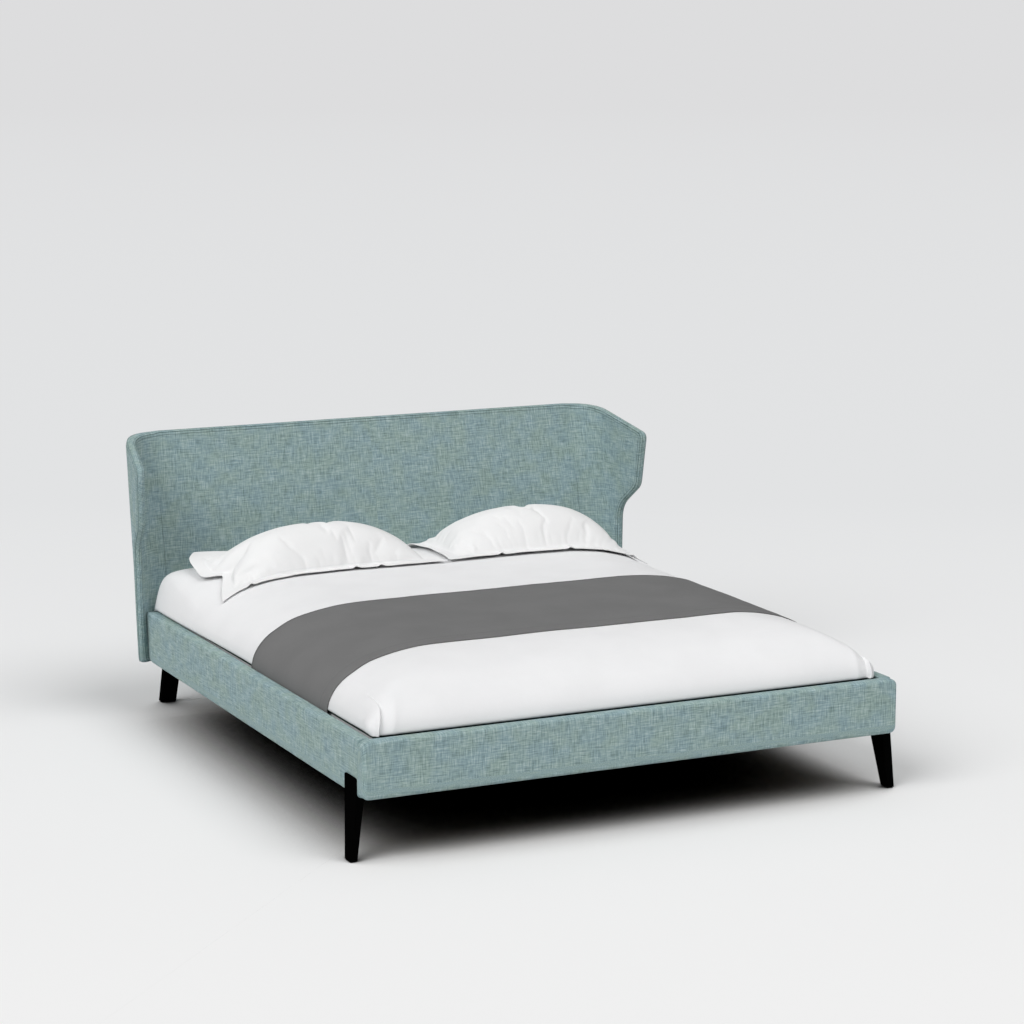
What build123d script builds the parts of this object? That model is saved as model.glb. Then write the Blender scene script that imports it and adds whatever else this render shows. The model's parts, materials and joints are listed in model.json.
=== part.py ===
from build123d import *
import math
import os

os.makedirs("parts", exist_ok=True)

# Mattress of 1800 by 2000, drawn in a little by its own softness, in millimetres
mattress_width = 1780
mattress_length = 2000
mattress_height = 175
mattress_corner_radius = 40
mattress_edge_radius = 45
mattress_foot_gap = 16
mattress_head_gap = 2
mattress_side_gap = 26
seat_clearance = 0.3

# Padded frame round the mattress
rail_underside = 203
rail_height = 185
rail_core = 24
padding = 10
rail_edge_radius = 18
rail_inner_radius = 8
foot_corner_radius = 14
flap_height = 60

# Headboard, which leans back
headboard_height = 1030
headboard_lean = 12
headboard_thickness = 44
headboard_edge_radius = 8
wing_seam_inset = 120

# Wings, which reach forward from the headboard and flare out
wing_overhang = 46
wing_flare = 10.2
wing_thickness_low = 20
wing_thickness_high = 32
wing_padding = 6
corner_full_share = 0.43
inner_corner_low = 52
inner_corner_high = 120
outer_corner_low = 80
outer_corner_high = 150
neck_reach = 16
neck_height_share = 0.527
neck_foot_radius = 14
neck_curve_radius = 90
ear_lower_reach = 128
ear_lower_height_share = 0.64
ear_lower_radius = 50
ear_reach = 156
ear_height_share = 0.899
ear_radius = 28

# Front legs, let into the outer faces of the side rails
glide_height = 4
glide_margin = 3
front_leg_setback = 48
front_leg_tongue_length = 90
front_leg_foot_length = 45
front_leg_rise = 62
front_leg_corner = 8
front_leg_proud = 5
front_leg_thickness = 28
front_leg_foot_thickness = 24
front_leg_splay = 20

# Rear legs, let into the back of the headboard
rear_leg_inset = 129
rear_leg_rake = 21
rear_leg_thickness = 24
rear_leg_foot = 60
rear_leg_top = 72
rear_leg_reach = 192

# Bolts and screws
bolt_radius = 4
bolt_head_radius = 6.5
bolt_head = 5
hole_clearance = 0.1
leg_bolt_spacing = 45
leg_bolt_rise = 32
leg_bolt_grip = 16
rear_bolt_spacing = 30
rear_bolt_drop = 9
rear_bolt_grip = 13
frame_bolt_depth = 60
frame_bolt_seat = 18
frame_bolt_rises = (55, 135)
screw_radius = 2.2
screw_length = 14
screw_head_radius = 4
screw_head = 2.5

# Steel fittings inside the rails
bracket_steel = 4
bracket_leg = 50
bracket_height = 42
bracket_rise = 41
bracket_screw_margin = 12
ledge_steel = 3
ledge_width = 50
ledge_height = 30
ledge_rise = 42
ledge_start = 150
ledge_end_gap = 72
ledge_screw_count = 7
ledge_screw_drop = 16

# Timber across the head end, and the beam down the middle
head_rail_gap = 16
head_rail_core = 24
head_rail_height = 74
beam_width = 80
beam_height = 30
beam_wall = 2
hanger_margin = 15
hanger_lap = 50
hanger_screw_gap = 8

# Two supports under the beam, each with a levelling foot
support_shares = (1 / 3, 2 / 3)
support_radius = 15
support_wall = 2
support_flange = 3
support_flange_radius = 32
support_lift = 32
support_plug = 20
foot_radius = 20
foot_height = 8
foot_stem_radius = 5
foot_stem_length = 46
foot_stem_clearance = 0.08

# Two slat bases, side by side
base_foot_gap = 16
base_head_gap = 12
base_inner_x = 6
base_side_gap = 21
base_timber = 25
base_timber_height = 30
slat_count = 14
slat_width = 53
slat_thickness = 8
slat_margin = 62
holder_height = 14
holder_floor = 3
holder_wall = 4
holder_cheek = 4

# Quilted cover that is drawn over the mattress
cover_side = 13
cover_hem_rise = 16
cover_crown_rise = 111
cover_corner_radius = 30
shoulder_start_drop = 160
shoulder_insets = (24, 64, 153, 332)
shoulder_drops = (116, 79, 34, 4)
head_shoulder_start_drop = 105
head_shoulder_insets = (12, 40, 110, 332)
head_shoulder_drops = (72, 45, 22, 4)
head_shoulder_length = 560
head_edge_radius = 45

# Runner across the foot of the bed
runner_start = 410
runner_width = 680
runner_thickness = 3
runner_tuck = 58

# Pillows, with a flat flange round each
pillow_depth = 480
pillow_head_gap = 8
pillow_rise = 150
pillow_flange = 46
pillow_flange_thickness = 6
pillow_waist = 12
pillow_end_height = 12
pillow_end_depth_share = 0.8
pillow_station_shares = (0, 0.1, 0.28, 0.5, 0.72, 0.9, 1)
pillow_crown_shares = (0, 0.42, 0.87, 1, 0.87, 0.42, 0)
left_pillow_width = 869
right_pillow_width = 826
pillow_gap = 8
pillow_shift = 38

# How far a cut runs past what it cuts
overrun = 300

# Sizes worked out from the ones above
rail_thickness = rail_core + 2 * padding
half_width = mattress_width / 2 + mattress_side_gap + rail_thickness
rail_length = rail_thickness + mattress_foot_gap + mattress_length + mattress_head_gap
rail_top = rail_underside + rail_height
headboard_rise = headboard_height - rail_underside
corner_full_height = rail_underside + headboard_rise * corner_full_share
wing_seam_x = half_width - wing_seam_inset
wing_inner_x = half_width + wing_overhang
rear_leg_x = half_width - rear_leg_inset
rear_leg_foot_back = rail_length + rear_leg_reach
core_outer_x = half_width - padding
core_inner_x = core_outer_x - rail_core
core_low = rail_underside + padding
core_high = rail_top - padding
foot_core_back = padding + rail_core
lean = math.radians(headboard_lean)
flare = math.radians(wing_flare)
rake = math.radians(rear_leg_rake)
headboard_depth = headboard_thickness / math.cos(lean)
padding_depth = padding / math.cos(lean)
ear_y = rail_length - ear_reach
head_rail_back = rail_length - head_rail_gap
head_rail_front = head_rail_back - head_rail_core
head_rail_high = core_low + head_rail_height
ledge_end = head_rail_front - ledge_end_gap
base_start = foot_core_back + base_foot_gap
base_length = head_rail_front - base_head_gap - base_start
base_outer_x = core_inner_x - base_side_gap
hanger_width = beam_width + 2 * hanger_margin
hanger_screw_x = beam_width / 2 + hanger_screw_gap
ledge_level = rail_underside + ledge_rise
base_top = ledge_level + base_timber_height
slat_low = base_top + holder_floor
mattress_low = base_top + holder_height + seat_clearance
mattress_high = mattress_low + mattress_height
mattress_foot_y = rail_thickness + mattress_foot_gap
cover_half_width = mattress_width / 2 + cover_side
cover_foot_y = mattress_foot_y - cover_side
cover_head_y = mattress_foot_y + mattress_length + cover_side
cover_low = mattress_low + cover_hem_rise
cover_crown = mattress_high + cover_crown_rise
head_shoulder_start = cover_head_y - head_shoulder_length
runner_low = rail_top - runner_tuck
pillow_front = cover_head_y - pillow_head_gap - pillow_depth
left_pillow_span = (pillow_shift - pillow_gap / 2 - left_pillow_width, pillow_shift - pillow_gap / 2)
right_pillow_span = (pillow_shift + pillow_gap / 2, pillow_shift + pillow_gap / 2 + right_pillow_width)


def face_y(z):
    """How far back the headboard's front face is at height z."""
    return rail_length + (z - rail_underside) * math.tan(lean)


headboard_top_y = face_y(headboard_height)
overall_length = headboard_top_y + headboard_depth


def block(x, y, z):
    """A box between two values on each axis."""
    centre = [(pair[0] + pair[1]) / 2 for pair in (x, y, z)]
    size = [abs(pair[1] - pair[0]) for pair in (x, y, z)]
    return Pos(*centre) * Box(*size)


def rounded_face(corners):
    """A flat face from (x, y, radius) corners, with an arc where the radius isn't zero."""
    edges, starts, ends = [], [], []
    for i, (x, y, radius) in enumerate(corners):
        here = Vector(x, y)
        before = Vector(*corners[i - 1][:2])
        after = Vector(*corners[(i + 1) % len(corners)][:2])
        into = (here - before).normalized()
        out = (after - here).normalized()
        turn = math.radians(into.get_angle(out))
        reach = radius * math.tan(turn / 2)
        start = here - into * reach
        end = here + out * reach
        if radius:
            inward = (out - into).normalized()
            centre = here + inward * (radius / math.cos(turn / 2))
            edges.append(ThreePointArc(start, centre - inward * radius, end))
        starts.append(start)
        ends.append(end)
    for i, end in enumerate(ends):
        edges.append(Line(end, starts[(i + 1) % len(starts)]))
    return make_face(edges)


def side_prism(face, x_low, x_high):
    """A face drawn in Y and Z, drawn out along X."""
    return extrude(Plane.YZ.offset(x_low) * face, x_high - x_low)


def cross_prism(face, y_low, y_high):
    """A face drawn in X and Z, drawn out along Y."""
    return extrude(Plane.XZ.offset(-y_low) * face, y_low - y_high)


def plan_prism(face, z_low, z_high):
    """A face drawn in X and Y, drawn out along Z."""
    return extrude(Plane.XY.offset(z_low) * face, z_high - z_low)


def rod(radius, centre, low, high, axis):
    """A round rod along one axis, between two values on it."""
    turns = {"x": Rot(0, 90, 0), "y": Rot(90, 0, 0), "z": Rot(0, 0, 0)}
    place = dict(zip("xyz", centre))
    place[axis] = (low + high) / 2
    return Pos(place["x"], place["y"], place["z"]) * turns[axis] * Cylinder(radius, high - low)


def both_sides(shapes):
    """Right-hand shapes together with their mirror images on the left."""
    return shapes + [mirror(shape, Plane.YZ) for shape in shapes]


def cut(shape, tools):
    """A shape with every tool taken out of it."""
    for tool in tools:
        shape = shape - tool
    return shape


def save(name, shapes):
    """Writes one node, with the origin under the middle of the whole bed."""
    solids = [solid for shape in shapes for solid in shape.solids()]
    moved = [Pos(0, -overall_length / 2, 0) * solid for solid in solids]
    whole = moved[0] if len(moved) == 1 else Compound(children=moved)
    whole.label = name
    export_step(whole, f"parts/{name}.step")


def save_pair(name, shapes):
    """Writes a right-hand node and its mirror image on the left."""
    save(f"right_{name}", shapes)
    save(f"left_{name}", [mirror(shape, Plane.YZ) for shape in shapes])


def behind_plane(depth):
    """The space behind a plane that lies a depth inside the leaning headboard."""
    shift = depth / math.cos(lean)
    low, high = -overrun, headboard_height + overrun
    far = rail_length + headboard_height
    points = [(face_y(low) + shift, low), (far, low), (far, high), (face_y(high) + shift, high)]
    return side_prism(make_face(Polyline(*points, close=True)), -half_width - overrun, half_width + overrun)


# Headboard

def headboard_slab(front, back, end):
    """The middle of the leaning headboard, between two depths and drawn in at its ends."""
    low, high = rail_underside + end, headboard_height - end
    near, far = front / math.cos(lean), back / math.cos(lean)
    radius = 0 if end else headboard_edge_radius
    outline = rounded_face(
        [
            (face_y(low) + near, low, radius),
            (face_y(low) + far, low, radius),
            (face_y(high) + far, high, radius),
            (face_y(high) + near, high, radius),
        ]
    )
    return side_prism(outline, -wing_seam_x, wing_seam_x)


def wing_plan(z, inset):
    """The right wing seen from above at height z: headboard end, corner and side."""
    deep = padding if inset else 0
    front = face_y(z) + deep / math.cos(lean)
    back = face_y(z) + (headboard_thickness - deep) / math.cos(lean)
    far = ear_y - overrun
    tall = (z - rail_underside) / headboard_rise
    full = min(1, max(0, tall / corner_full_share))
    thickness = wing_thickness_low + tall * (wing_thickness_high - wing_thickness_low)
    inner = inner_corner_low + full * (inner_corner_high - inner_corner_low) + inset
    outer = outer_corner_low + full * (outer_corner_high - outer_corner_low) - inset

    def side_x(y, depth):
        return wing_inner_x + depth / math.cos(flare) - (y - ear_y) * math.tan(flare)

    outline = rounded_face(
        [
            (wing_seam_x, front, 0),
            (side_x(front, inset), front, inner),
            (side_x(far, inset), far, 0),
            (side_x(far, thickness - inset), far, 0),
            (side_x(back, thickness - inset), back, outer),
            (wing_seam_x, back, 0),
        ]
    )
    return Pos(0, 0, z) * outline


def wing_side(inset):
    """The wing seen from the side: neck, curve, ear and the top edge that falls forward."""
    far = rail_length + headboard_height

    def height(share):
        return rail_underside + headboard_rise * share

    outline = rounded_face(
        [
            (rail_length - neck_reach, rail_underside, neck_foot_radius),
            (rail_length - neck_reach, height(neck_height_share), neck_curve_radius),
            (rail_length - ear_lower_reach, height(ear_lower_height_share), ear_lower_radius),
            (ear_y, height(ear_height_share), ear_radius),
            (headboard_top_y, headboard_height, 0),
            (far, headboard_height, 0),
            (far, rail_underside, 0),
        ]
    )
    return offset(outline, -inset) if inset else outline


def wing_form(inset):
    """The whole right wing, drawn in by an inset all round but at the seam."""
    heights = (rail_underside - padding, rail_underside, corner_full_height, headboard_height + padding)
    body = loft([wing_plan(z, inset) for z in heights], ruled=True)
    return body & side_prism(wing_side(inset), 0, half_width + overrun)


# Rails

def rail_outline():
    """The padded rail's section, from its outer face inwards and up."""
    return [
        (0, rail_underside, rail_edge_radius),
        (rail_thickness, rail_underside, rail_inner_radius),
        (rail_thickness, rail_top, rail_inner_radius),
        (0, rail_top, rail_edge_radius),
    ]


def foot_rail_form():
    """The padded foot rail with its core still in it."""
    bar = side_prism(rounded_face(rail_outline()), -half_width, half_width)
    front = [
        (-half_width, rail_underside, rail_edge_radius),
        (half_width, rail_underside, rail_edge_radius),
        (half_width, rail_top, rail_edge_radius),
        (-half_width, rail_top, rail_edge_radius),
    ]
    plan = [
        (-half_width, 0, foot_corner_radius),
        (half_width, 0, foot_corner_radius),
        (half_width, rail_thickness, 0),
        (-half_width, rail_thickness, 0),
    ]
    bar = bar & cross_prism(rounded_face(front), 0, rail_thickness)
    return bar & plan_prism(rounded_face(plan), rail_underside, rail_top)


def side_rail_form():
    """The padded right rail with its core still in it, run on into the headboard."""
    section = [(half_width - x, z, radius) for x, z, radius in rail_outline()]
    return cross_prism(rounded_face(section), rail_thickness, rail_length + overrun)


def side_core_form():
    """The right rail's timber, run on into the headboard."""
    y = (foot_core_back, rail_length + overrun)
    return block((core_inner_x, core_outer_x), y, (core_low, core_high))


def foot_core_form():
    """The foot rail's timber."""
    return block((-core_outer_x, core_outer_x), (padding, foot_core_back), (core_low, core_high))


def open_back(y, x):
    """The space inside the rail, below the flap of padding that turns down over its edge."""
    return block(x, y, (rail_underside, rail_top - flap_height))


# Legs

def front_leg():
    """The right front leg: a tongue in the rail over a splayed, tapering plank."""
    outer_x = half_width + front_leg_proud
    inner_x = outer_x - front_leg_thickness
    top = rail_underside + front_leg_rise
    foot_x = outer_x + front_leg_splay
    across = Polyline(
        (inner_x, top),
        (inner_x, rail_underside),
        (foot_x - front_leg_foot_thickness, glide_height),
        (foot_x, glide_height),
        (outer_x, rail_underside),
        (outer_x, top),
        close=True,
    )
    front, back = front_leg_setback, front_leg_setback + front_leg_tongue_length
    along = [
        (front, glide_height, 0),
        (front + front_leg_foot_length, glide_height, 0),
        (back, rail_underside, 0),
        (back, top, front_leg_corner),
        (front, top, front_leg_corner),
    ]
    plank = cross_prism(make_face(across), front, back)
    plank = plank & side_prism(rounded_face(along), inner_x - overrun, foot_x + overrun)
    return plank


def rear_leg_meeting():
    """The height at which the rear leg's middle line meets the headboard's core."""
    leg_middle = rear_leg_foot_back - rear_leg_thickness / math.cos(rake) / 2
    board_back = face_y(0) + (headboard_thickness - padding) / math.cos(lean)
    return (leg_middle - board_back) / (math.tan(rake) + math.tan(lean))


def rear_leg():
    """The right rear leg: a plank that leans in and ends on the headboard's core."""
    depth = rear_leg_thickness / math.cos(rake)
    high = rear_leg_meeting() + 2 * headboard_thickness
    back_low = rear_leg_foot_back - glide_height * math.tan(rake)
    back_high = rear_leg_foot_back - high * math.tan(rake)
    along = Polyline(
        (back_low, glide_height),
        (back_high, high),
        (back_high - depth, high),
        (back_low - depth, glide_height),
        close=True,
    )
    across = Polyline(
        (rear_leg_x - rear_leg_foot / 2, glide_height),
        (rear_leg_x + rear_leg_foot / 2, glide_height),
        (rear_leg_x + rear_leg_top / 2, high),
        (rear_leg_x - rear_leg_top / 2, high),
        close=True,
    )
    plank = side_prism(make_face(along), rear_leg_x - overrun, rear_leg_x + overrun)
    plank = plank & cross_prism(make_face(across), rail_length - overrun, rear_leg_foot_back + overrun)
    return plank & behind_plane(headboard_thickness - padding)


def glide(leg):
    """A thin pad under a leg, drawn in from its edges."""
    base = leg.faces().sort_by(Axis.Z)[0]
    box = base.bounding_box()
    x = (box.min.X + glide_margin, box.max.X - glide_margin)
    y = (box.min.Y + glide_margin, box.max.Y - glide_margin)
    return block(x, y, (0, glide_height))


# Bolts and screws

def front_leg_bolts(extra=0):
    """Bolts from inside the right rail into its front leg, made larger for their holes."""
    bolts = []
    middle = front_leg_setback + front_leg_tongue_length / 2
    notch_x = half_width + front_leg_proud - front_leg_thickness
    for side in (-1, 1):
        centre = (0, middle + side * leg_bolt_spacing / 2, rail_underside + leg_bolt_rise)
        shank = rod(bolt_radius + extra, centre, core_inner_x, notch_x + leg_bolt_grip, "x")
        head = rod(bolt_head_radius, centre, core_inner_x - bolt_head, core_inner_x, "x")
        bolts.append(shank + head)
    return bolts


def rear_leg_bolts(extra=0):
    """Bolts through the headboard's core into the right rear leg."""
    depth = headboard_thickness - padding
    core = depth - padding
    height = rear_leg_meeting()
    bolts = []
    for side in (-1, 1):
        shank = Pos(0, 0, (rear_bolt_grip - core) / 2) * Cylinder(bolt_radius + extra, core + rear_bolt_grip)
        head = Pos(0, 0, bolt_head / 2 - core) * Cylinder(bolt_head_radius + extra, bolt_head)
        x = rear_leg_x + side * rear_bolt_spacing / 2
        place = Pos(x, face_y(height) + depth / math.cos(lean), height) * Rot(-90 - headboard_lean, 0, 0)
        bolts.append(place * Pos(0, rear_bolt_drop, 0) * (shank + head))
    return bolts


def frame_bolts(extra=0, reach=0):
    """Bolts from behind the headboard's core into the end of the right rail."""
    bolts = []
    x = (core_inner_x + core_outer_x) / 2
    for rise in frame_bolt_rises:
        z = rail_underside + rise
        seat = face_y(z) + frame_bolt_seat
        shank = rod(bolt_radius + extra, (x, 0, z), seat - frame_bolt_depth, seat, "y")
        head = rod(bolt_head_radius + extra, (x, 0, z), seat, seat + bolt_head + reach, "y")
        bolts.append(shank + head)
    return bolts


def screw(face_point, into, extra=0):
    """A screw whose head rests on a face and whose shank runs into it along an axis."""
    axis = max("xyz", key=lambda name: abs(into["xyz".index(name)]))
    along = into["xyz".index(axis)]
    start = face_point["xyz".index(axis)]
    tip = start + along * screw_length
    cap = start - along * screw_head
    shank = rod(screw_radius + extra, face_point, min(start, tip), max(start, tip), axis)
    return shank + rod(screw_head_radius, face_point, min(start, cap), max(start, cap), axis)


# Steel fittings

def bracket(corner_y, facing):
    """An angle in a corner of the frame, with one flange on each timber."""
    low = rail_underside + bracket_rise
    z = (low, low + bracket_height)
    far, near = corner_y + facing * bracket_leg, corner_y + facing * bracket_steel
    along = block((core_inner_x - bracket_steel, core_inner_x), (corner_y, far), z)
    return along + block((core_inner_x - bracket_leg, core_inner_x), (corner_y, near), z)


def bracket_screws(corner_y, facing, extra=0):
    """Two screws through each flange of a corner angle."""
    screws = []
    low = rail_underside + bracket_rise
    reach = bracket_leg - bracket_screw_margin
    for z in (low + bracket_screw_margin, low + bracket_height - bracket_screw_margin):
        on_side = (core_inner_x - bracket_steel, corner_y + facing * reach, z)
        on_end = (core_inner_x - reach, corner_y + facing * bracket_steel, z)
        screws.append(screw(on_side, (1, 0, 0), extra))
        screws.append(screw(on_end, (0, -facing, 0), extra))
    return screws


def ledge():
    """The right rail's steel angle, which carries the slat base."""
    y = (ledge_start, ledge_end)
    shelf_z, side_z = (ledge_level - ledge_steel, ledge_level), (ledge_level - ledge_height, ledge_level)
    shelf = block((core_inner_x - ledge_width, core_inner_x), y, shelf_z)
    return shelf + block((core_inner_x - ledge_steel, core_inner_x), y, side_z)


def ledge_screws(extra=0):
    """Screws through the ledge into the right rail's timber."""
    pitch = (ledge_end - ledge_start) / ledge_screw_count
    z = ledge_level - ledge_screw_drop
    places = [ledge_start + pitch * (i + 1 / 2) for i in range(ledge_screw_count)]
    return [screw((core_inner_x - ledge_steel, y, z), (1, 0, 0), extra) for y in places]


def hanger(face, facing):
    """A plate on a timber with a shelf that carries one end of the middle beam."""
    low = ledge_level - beam_height - bracket_steel
    near, far = face + facing * bracket_steel, face + facing * hanger_lap
    plate = block((-hanger_width / 2, hanger_width / 2), (face, near), (low, ledge_level))
    return plate + block((-beam_width / 2, beam_width / 2), (face, far), (low, low + bracket_steel))


def hanger_screws(face, facing, extra=0):
    """Two screws on each side of the beam, through the hanger's plate."""
    screws = []
    for x in (-hanger_screw_x, hanger_screw_x):
        for share in support_shares:
            place = (x, face + facing * bracket_steel, ledge_level - beam_height * share)
            screws.append(screw(place, (0, -facing, 0), extra))
    return screws


def beam():
    """The hollow steel beam down the middle of the bed."""
    y = (foot_core_back + bracket_steel, head_rail_front - bracket_steel)
    half = beam_width / 2
    outer = block((-half, half), y, (ledge_level - beam_height, ledge_level))
    inner = block(
        (-half + beam_wall, half - beam_wall),
        y,
        (ledge_level - beam_height + beam_wall, ledge_level - beam_wall),
    )
    return outer - inner


def support(y):
    """A tube under the beam, with a flange above and a plug for the levelling foot below."""
    centre = (0, y, 0)
    top, plug_top = ledge_level - beam_height, support_lift + support_plug
    tube = rod(support_radius, centre, support_lift, top, "z")
    hollow = rod(support_radius - support_wall, centre, plug_top, top - support_flange, "z")
    bore = rod(foot_stem_radius + foot_stem_clearance, centre, support_lift, plug_top, "z")
    flange = rod(support_flange_radius, centre, top - support_flange, top, "z")
    return tube + flange - hollow - bore


def levelling_foot(y):
    """A disc on a stem that goes up into the support's plug."""
    disc = rod(foot_radius, (0, y, 0), 0, foot_height, "z")
    return disc + rod(foot_stem_radius, (0, y, 0), foot_height, foot_height + foot_stem_length, "z")


# Slat bases

def slat_places():
    """The middle of each slat along the bed."""
    pitch = (base_length - 2 * slat_margin) / (slat_count - 1)
    return [base_start + slat_margin + pitch * i for i in range(slat_count)]


def base_sides():
    """The two long timbers of the right slat base."""
    y, z = (base_start, base_start + base_length), (ledge_level, base_top)
    inner = block((base_inner_x, base_inner_x + base_timber), y, z)
    return [inner, block((base_outer_x - base_timber, base_outer_x), y, z)]


def base_ends():
    """The two cross timbers of the right slat base, between the long ones."""
    x, z = (base_inner_x + base_timber, base_outer_x - base_timber), (ledge_level, base_top)
    far = base_start + base_length
    return [block(x, (base_start, base_start + base_timber), z), block(x, (far - base_timber, far), z)]


def slat(y):
    """One sprung slat, with its ends in their holders."""
    x = (base_inner_x + holder_wall, base_outer_x - holder_wall)
    return block(x, (y - slat_width / 2, y + slat_width / 2), (slat_low, slat_low + slat_thickness))


def slat_holders(y):
    """The two caps that hold one slat's ends on the long timbers."""
    half = slat_width / 2 + holder_cheek
    z = (base_top, base_top + holder_height)
    lows = (base_inner_x, base_outer_x - base_timber)
    return [block((low, low + base_timber), (y - half, y + half), z) - slat(y) for low in lows]


# Bedding

def shoulder(sign, edge, start_drop, insets, drops):
    """Points from the side of the bedding over its shoulder to the nearly flat top."""
    first = (sign * edge, cover_crown - start_drop)
    return [first] + [(sign * (edge - inset), cover_crown - drop) for inset, drop in zip(insets, drops)]


def bedding_face(start_drop, insets, drops, grow=0):
    """The bedding's section across the bed: upright sides, soft shoulders, slightly domed top."""
    right = shoulder(1, cover_half_width, start_drop, insets, drops)
    left = shoulder(-1, cover_half_width, start_drop, insets, drops)[::-1]
    edges = [
        Line((cover_half_width, cover_low), right[0]),
        ThreePointArc(*right[:3]),
        ThreePointArc(*right[2:]),
        ThreePointArc(right[-1], (0, cover_crown), left[0]),
        ThreePointArc(*left[:3]),
        ThreePointArc(*left[2:]),
        Line(left[-1], (-cover_half_width, cover_low)),
        Line((-cover_half_width, cover_low), (cover_half_width, cover_low)),
    ]
    section = make_face(edges)
    return offset(section, grow) if grow else section


def cover_form():
    """The whole bedding before the mattress is taken out of it."""
    middle = bedding_face(shoulder_start_drop, shoulder_insets, shoulder_drops)
    head = bedding_face(head_shoulder_start_drop, head_shoulder_insets, head_shoulder_drops)
    body = cross_prism(middle, cover_foot_y, cover_head_y)
    sections = [Plane.XZ.offset(-head_shoulder_start) * middle, Plane.XZ.offset(-cover_head_y) * head]
    body = body + loft(sections, ruled=True)
    points = shoulder(1, 0, shoulder_start_drop, shoulder_insets, shoulder_drops)
    foot = [(cover_foot_y - x, z) for x, z in points]
    head_start = cover_head_y - head_edge_radius
    head_end = (cover_head_y, cover_crown - head_edge_radius)
    along = [
        Line((cover_foot_y, cover_low), foot[0]),
        ThreePointArc(*foot[:3]),
        ThreePointArc(*foot[2:]),
        Line(foot[-1], (foot[-1][0], cover_crown)),
        Line((foot[-1][0], cover_crown), (head_start, cover_crown)),
        RadiusArc((head_start, cover_crown), head_end, head_edge_radius),
        Line(head_end, (cover_head_y, cover_low)),
        Line((cover_head_y, cover_low), (cover_foot_y, cover_low)),
    ]
    plan = [
        (-cover_half_width, cover_foot_y, cover_corner_radius),
        (cover_half_width, cover_foot_y, cover_corner_radius),
        (cover_half_width, cover_head_y, cover_corner_radius),
        (-cover_half_width, cover_head_y, cover_corner_radius),
    ]
    body = body & side_prism(make_face(along), -half_width, half_width)
    return body & plan_prism(rounded_face(plan), cover_low, cover_crown)


def arched(low, high, grow):
    """The mattress's section along or across the bed, with rounded upper edges."""
    edge = mattress_edge_radius + grow
    return rounded_face(
        [
            (low, mattress_low - grow, 0),
            (high, mattress_low - grow, 0),
            (high, mattress_high + grow, edge),
            (low, mattress_high + grow, edge),
        ]
    )


def mattress_form(grow):
    """The mattress, made larger all round by a clearance."""
    half = mattress_width / 2 + grow
    y_low, y_high = mattress_foot_y - grow, mattress_foot_y + mattress_length + grow
    radius = mattress_corner_radius + grow
    plan = [(-half, y_low, radius), (half, y_low, radius), (half, y_high, radius), (-half, y_high, radius)]
    body = plan_prism(rounded_face(plan), mattress_low - grow, mattress_high + grow)
    body = body & cross_prism(arched(-half, half, grow), y_low, y_high)
    return body & side_prism(arched(y_low, y_high, grow), -half, half)


def runner_form():
    """The strip of cloth that lies over the bedding and is tucked in at both sides."""
    shape = (shoulder_start_drop, shoulder_insets, shoulder_drops)
    outer = bedding_face(*shape, grow=seat_clearance + runner_thickness)
    inner = bedding_face(*shape, grow=seat_clearance)
    strip = cross_prism(outer, runner_start, runner_start + runner_width)
    strip = strip - cross_prism(inner, runner_start, runner_start + runner_width)
    return strip & block((-half_width, half_width), (0, rail_length), (runner_low, headboard_height))


def pillow_outline(span):
    """The pillow seen from above, with pointed corners and drawn-in sides."""
    low, high = span
    front, back = pillow_front, pillow_front + pillow_depth
    middle_x, middle_y = (low + high) / 2, (front + back) / 2
    edges = [
        ThreePointArc((low, front), (middle_x, front + pillow_waist), (high, front)),
        ThreePointArc((high, front), (high - pillow_waist, middle_y), (high, back)),
        ThreePointArc((high, back), (middle_x, back - pillow_waist), (low, back)),
        ThreePointArc((low, back), (low + pillow_waist, middle_y), (low, front)),
    ]
    return make_face(edges)


def pillow(span, bedding):
    """A soft pillow: a flange that follows the bedding, and a filled middle with a crown."""
    low, high = span[0] + pillow_flange, span[1] - pillow_flange
    middle_y = pillow_front + pillow_depth / 2
    half = pillow_depth / 2 - pillow_flange
    base = cover_crown - shoulder_drops[0]
    sections = []
    for place, crown in zip(pillow_station_shares, pillow_crown_shares):
        x = low + (high - low) * place
        reach = half * (pillow_end_depth_share + (1 - pillow_end_depth_share) * crown)
        rise = cover_crown + pillow_end_height + (pillow_rise - pillow_end_height) * crown
        edge = cover_crown - shoulder_drops[-1] + pillow_flange_thickness
        front, back = (middle_y - reach, edge), (middle_y + reach, edge)
        outline = [
            ThreePointArc(back, (middle_y, rise), front),
            Line(front, (front[0], base)),
            Line((front[0], base), (back[0], base)),
            Line((back[0], base), back),
        ]
        sections.append(Plane.YZ.offset(x) * make_face(outline))
    filled = loft(sections)
    raised = Pos(0, 0, seat_clearance + pillow_flange_thickness) * bedding
    flange = raised & plan_prism(pillow_outline(span), cover_low, headboard_height)
    return filled + flange - Pos(0, 0, seat_clearance) * bedding


# Work out the frame, then write every piece

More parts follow.
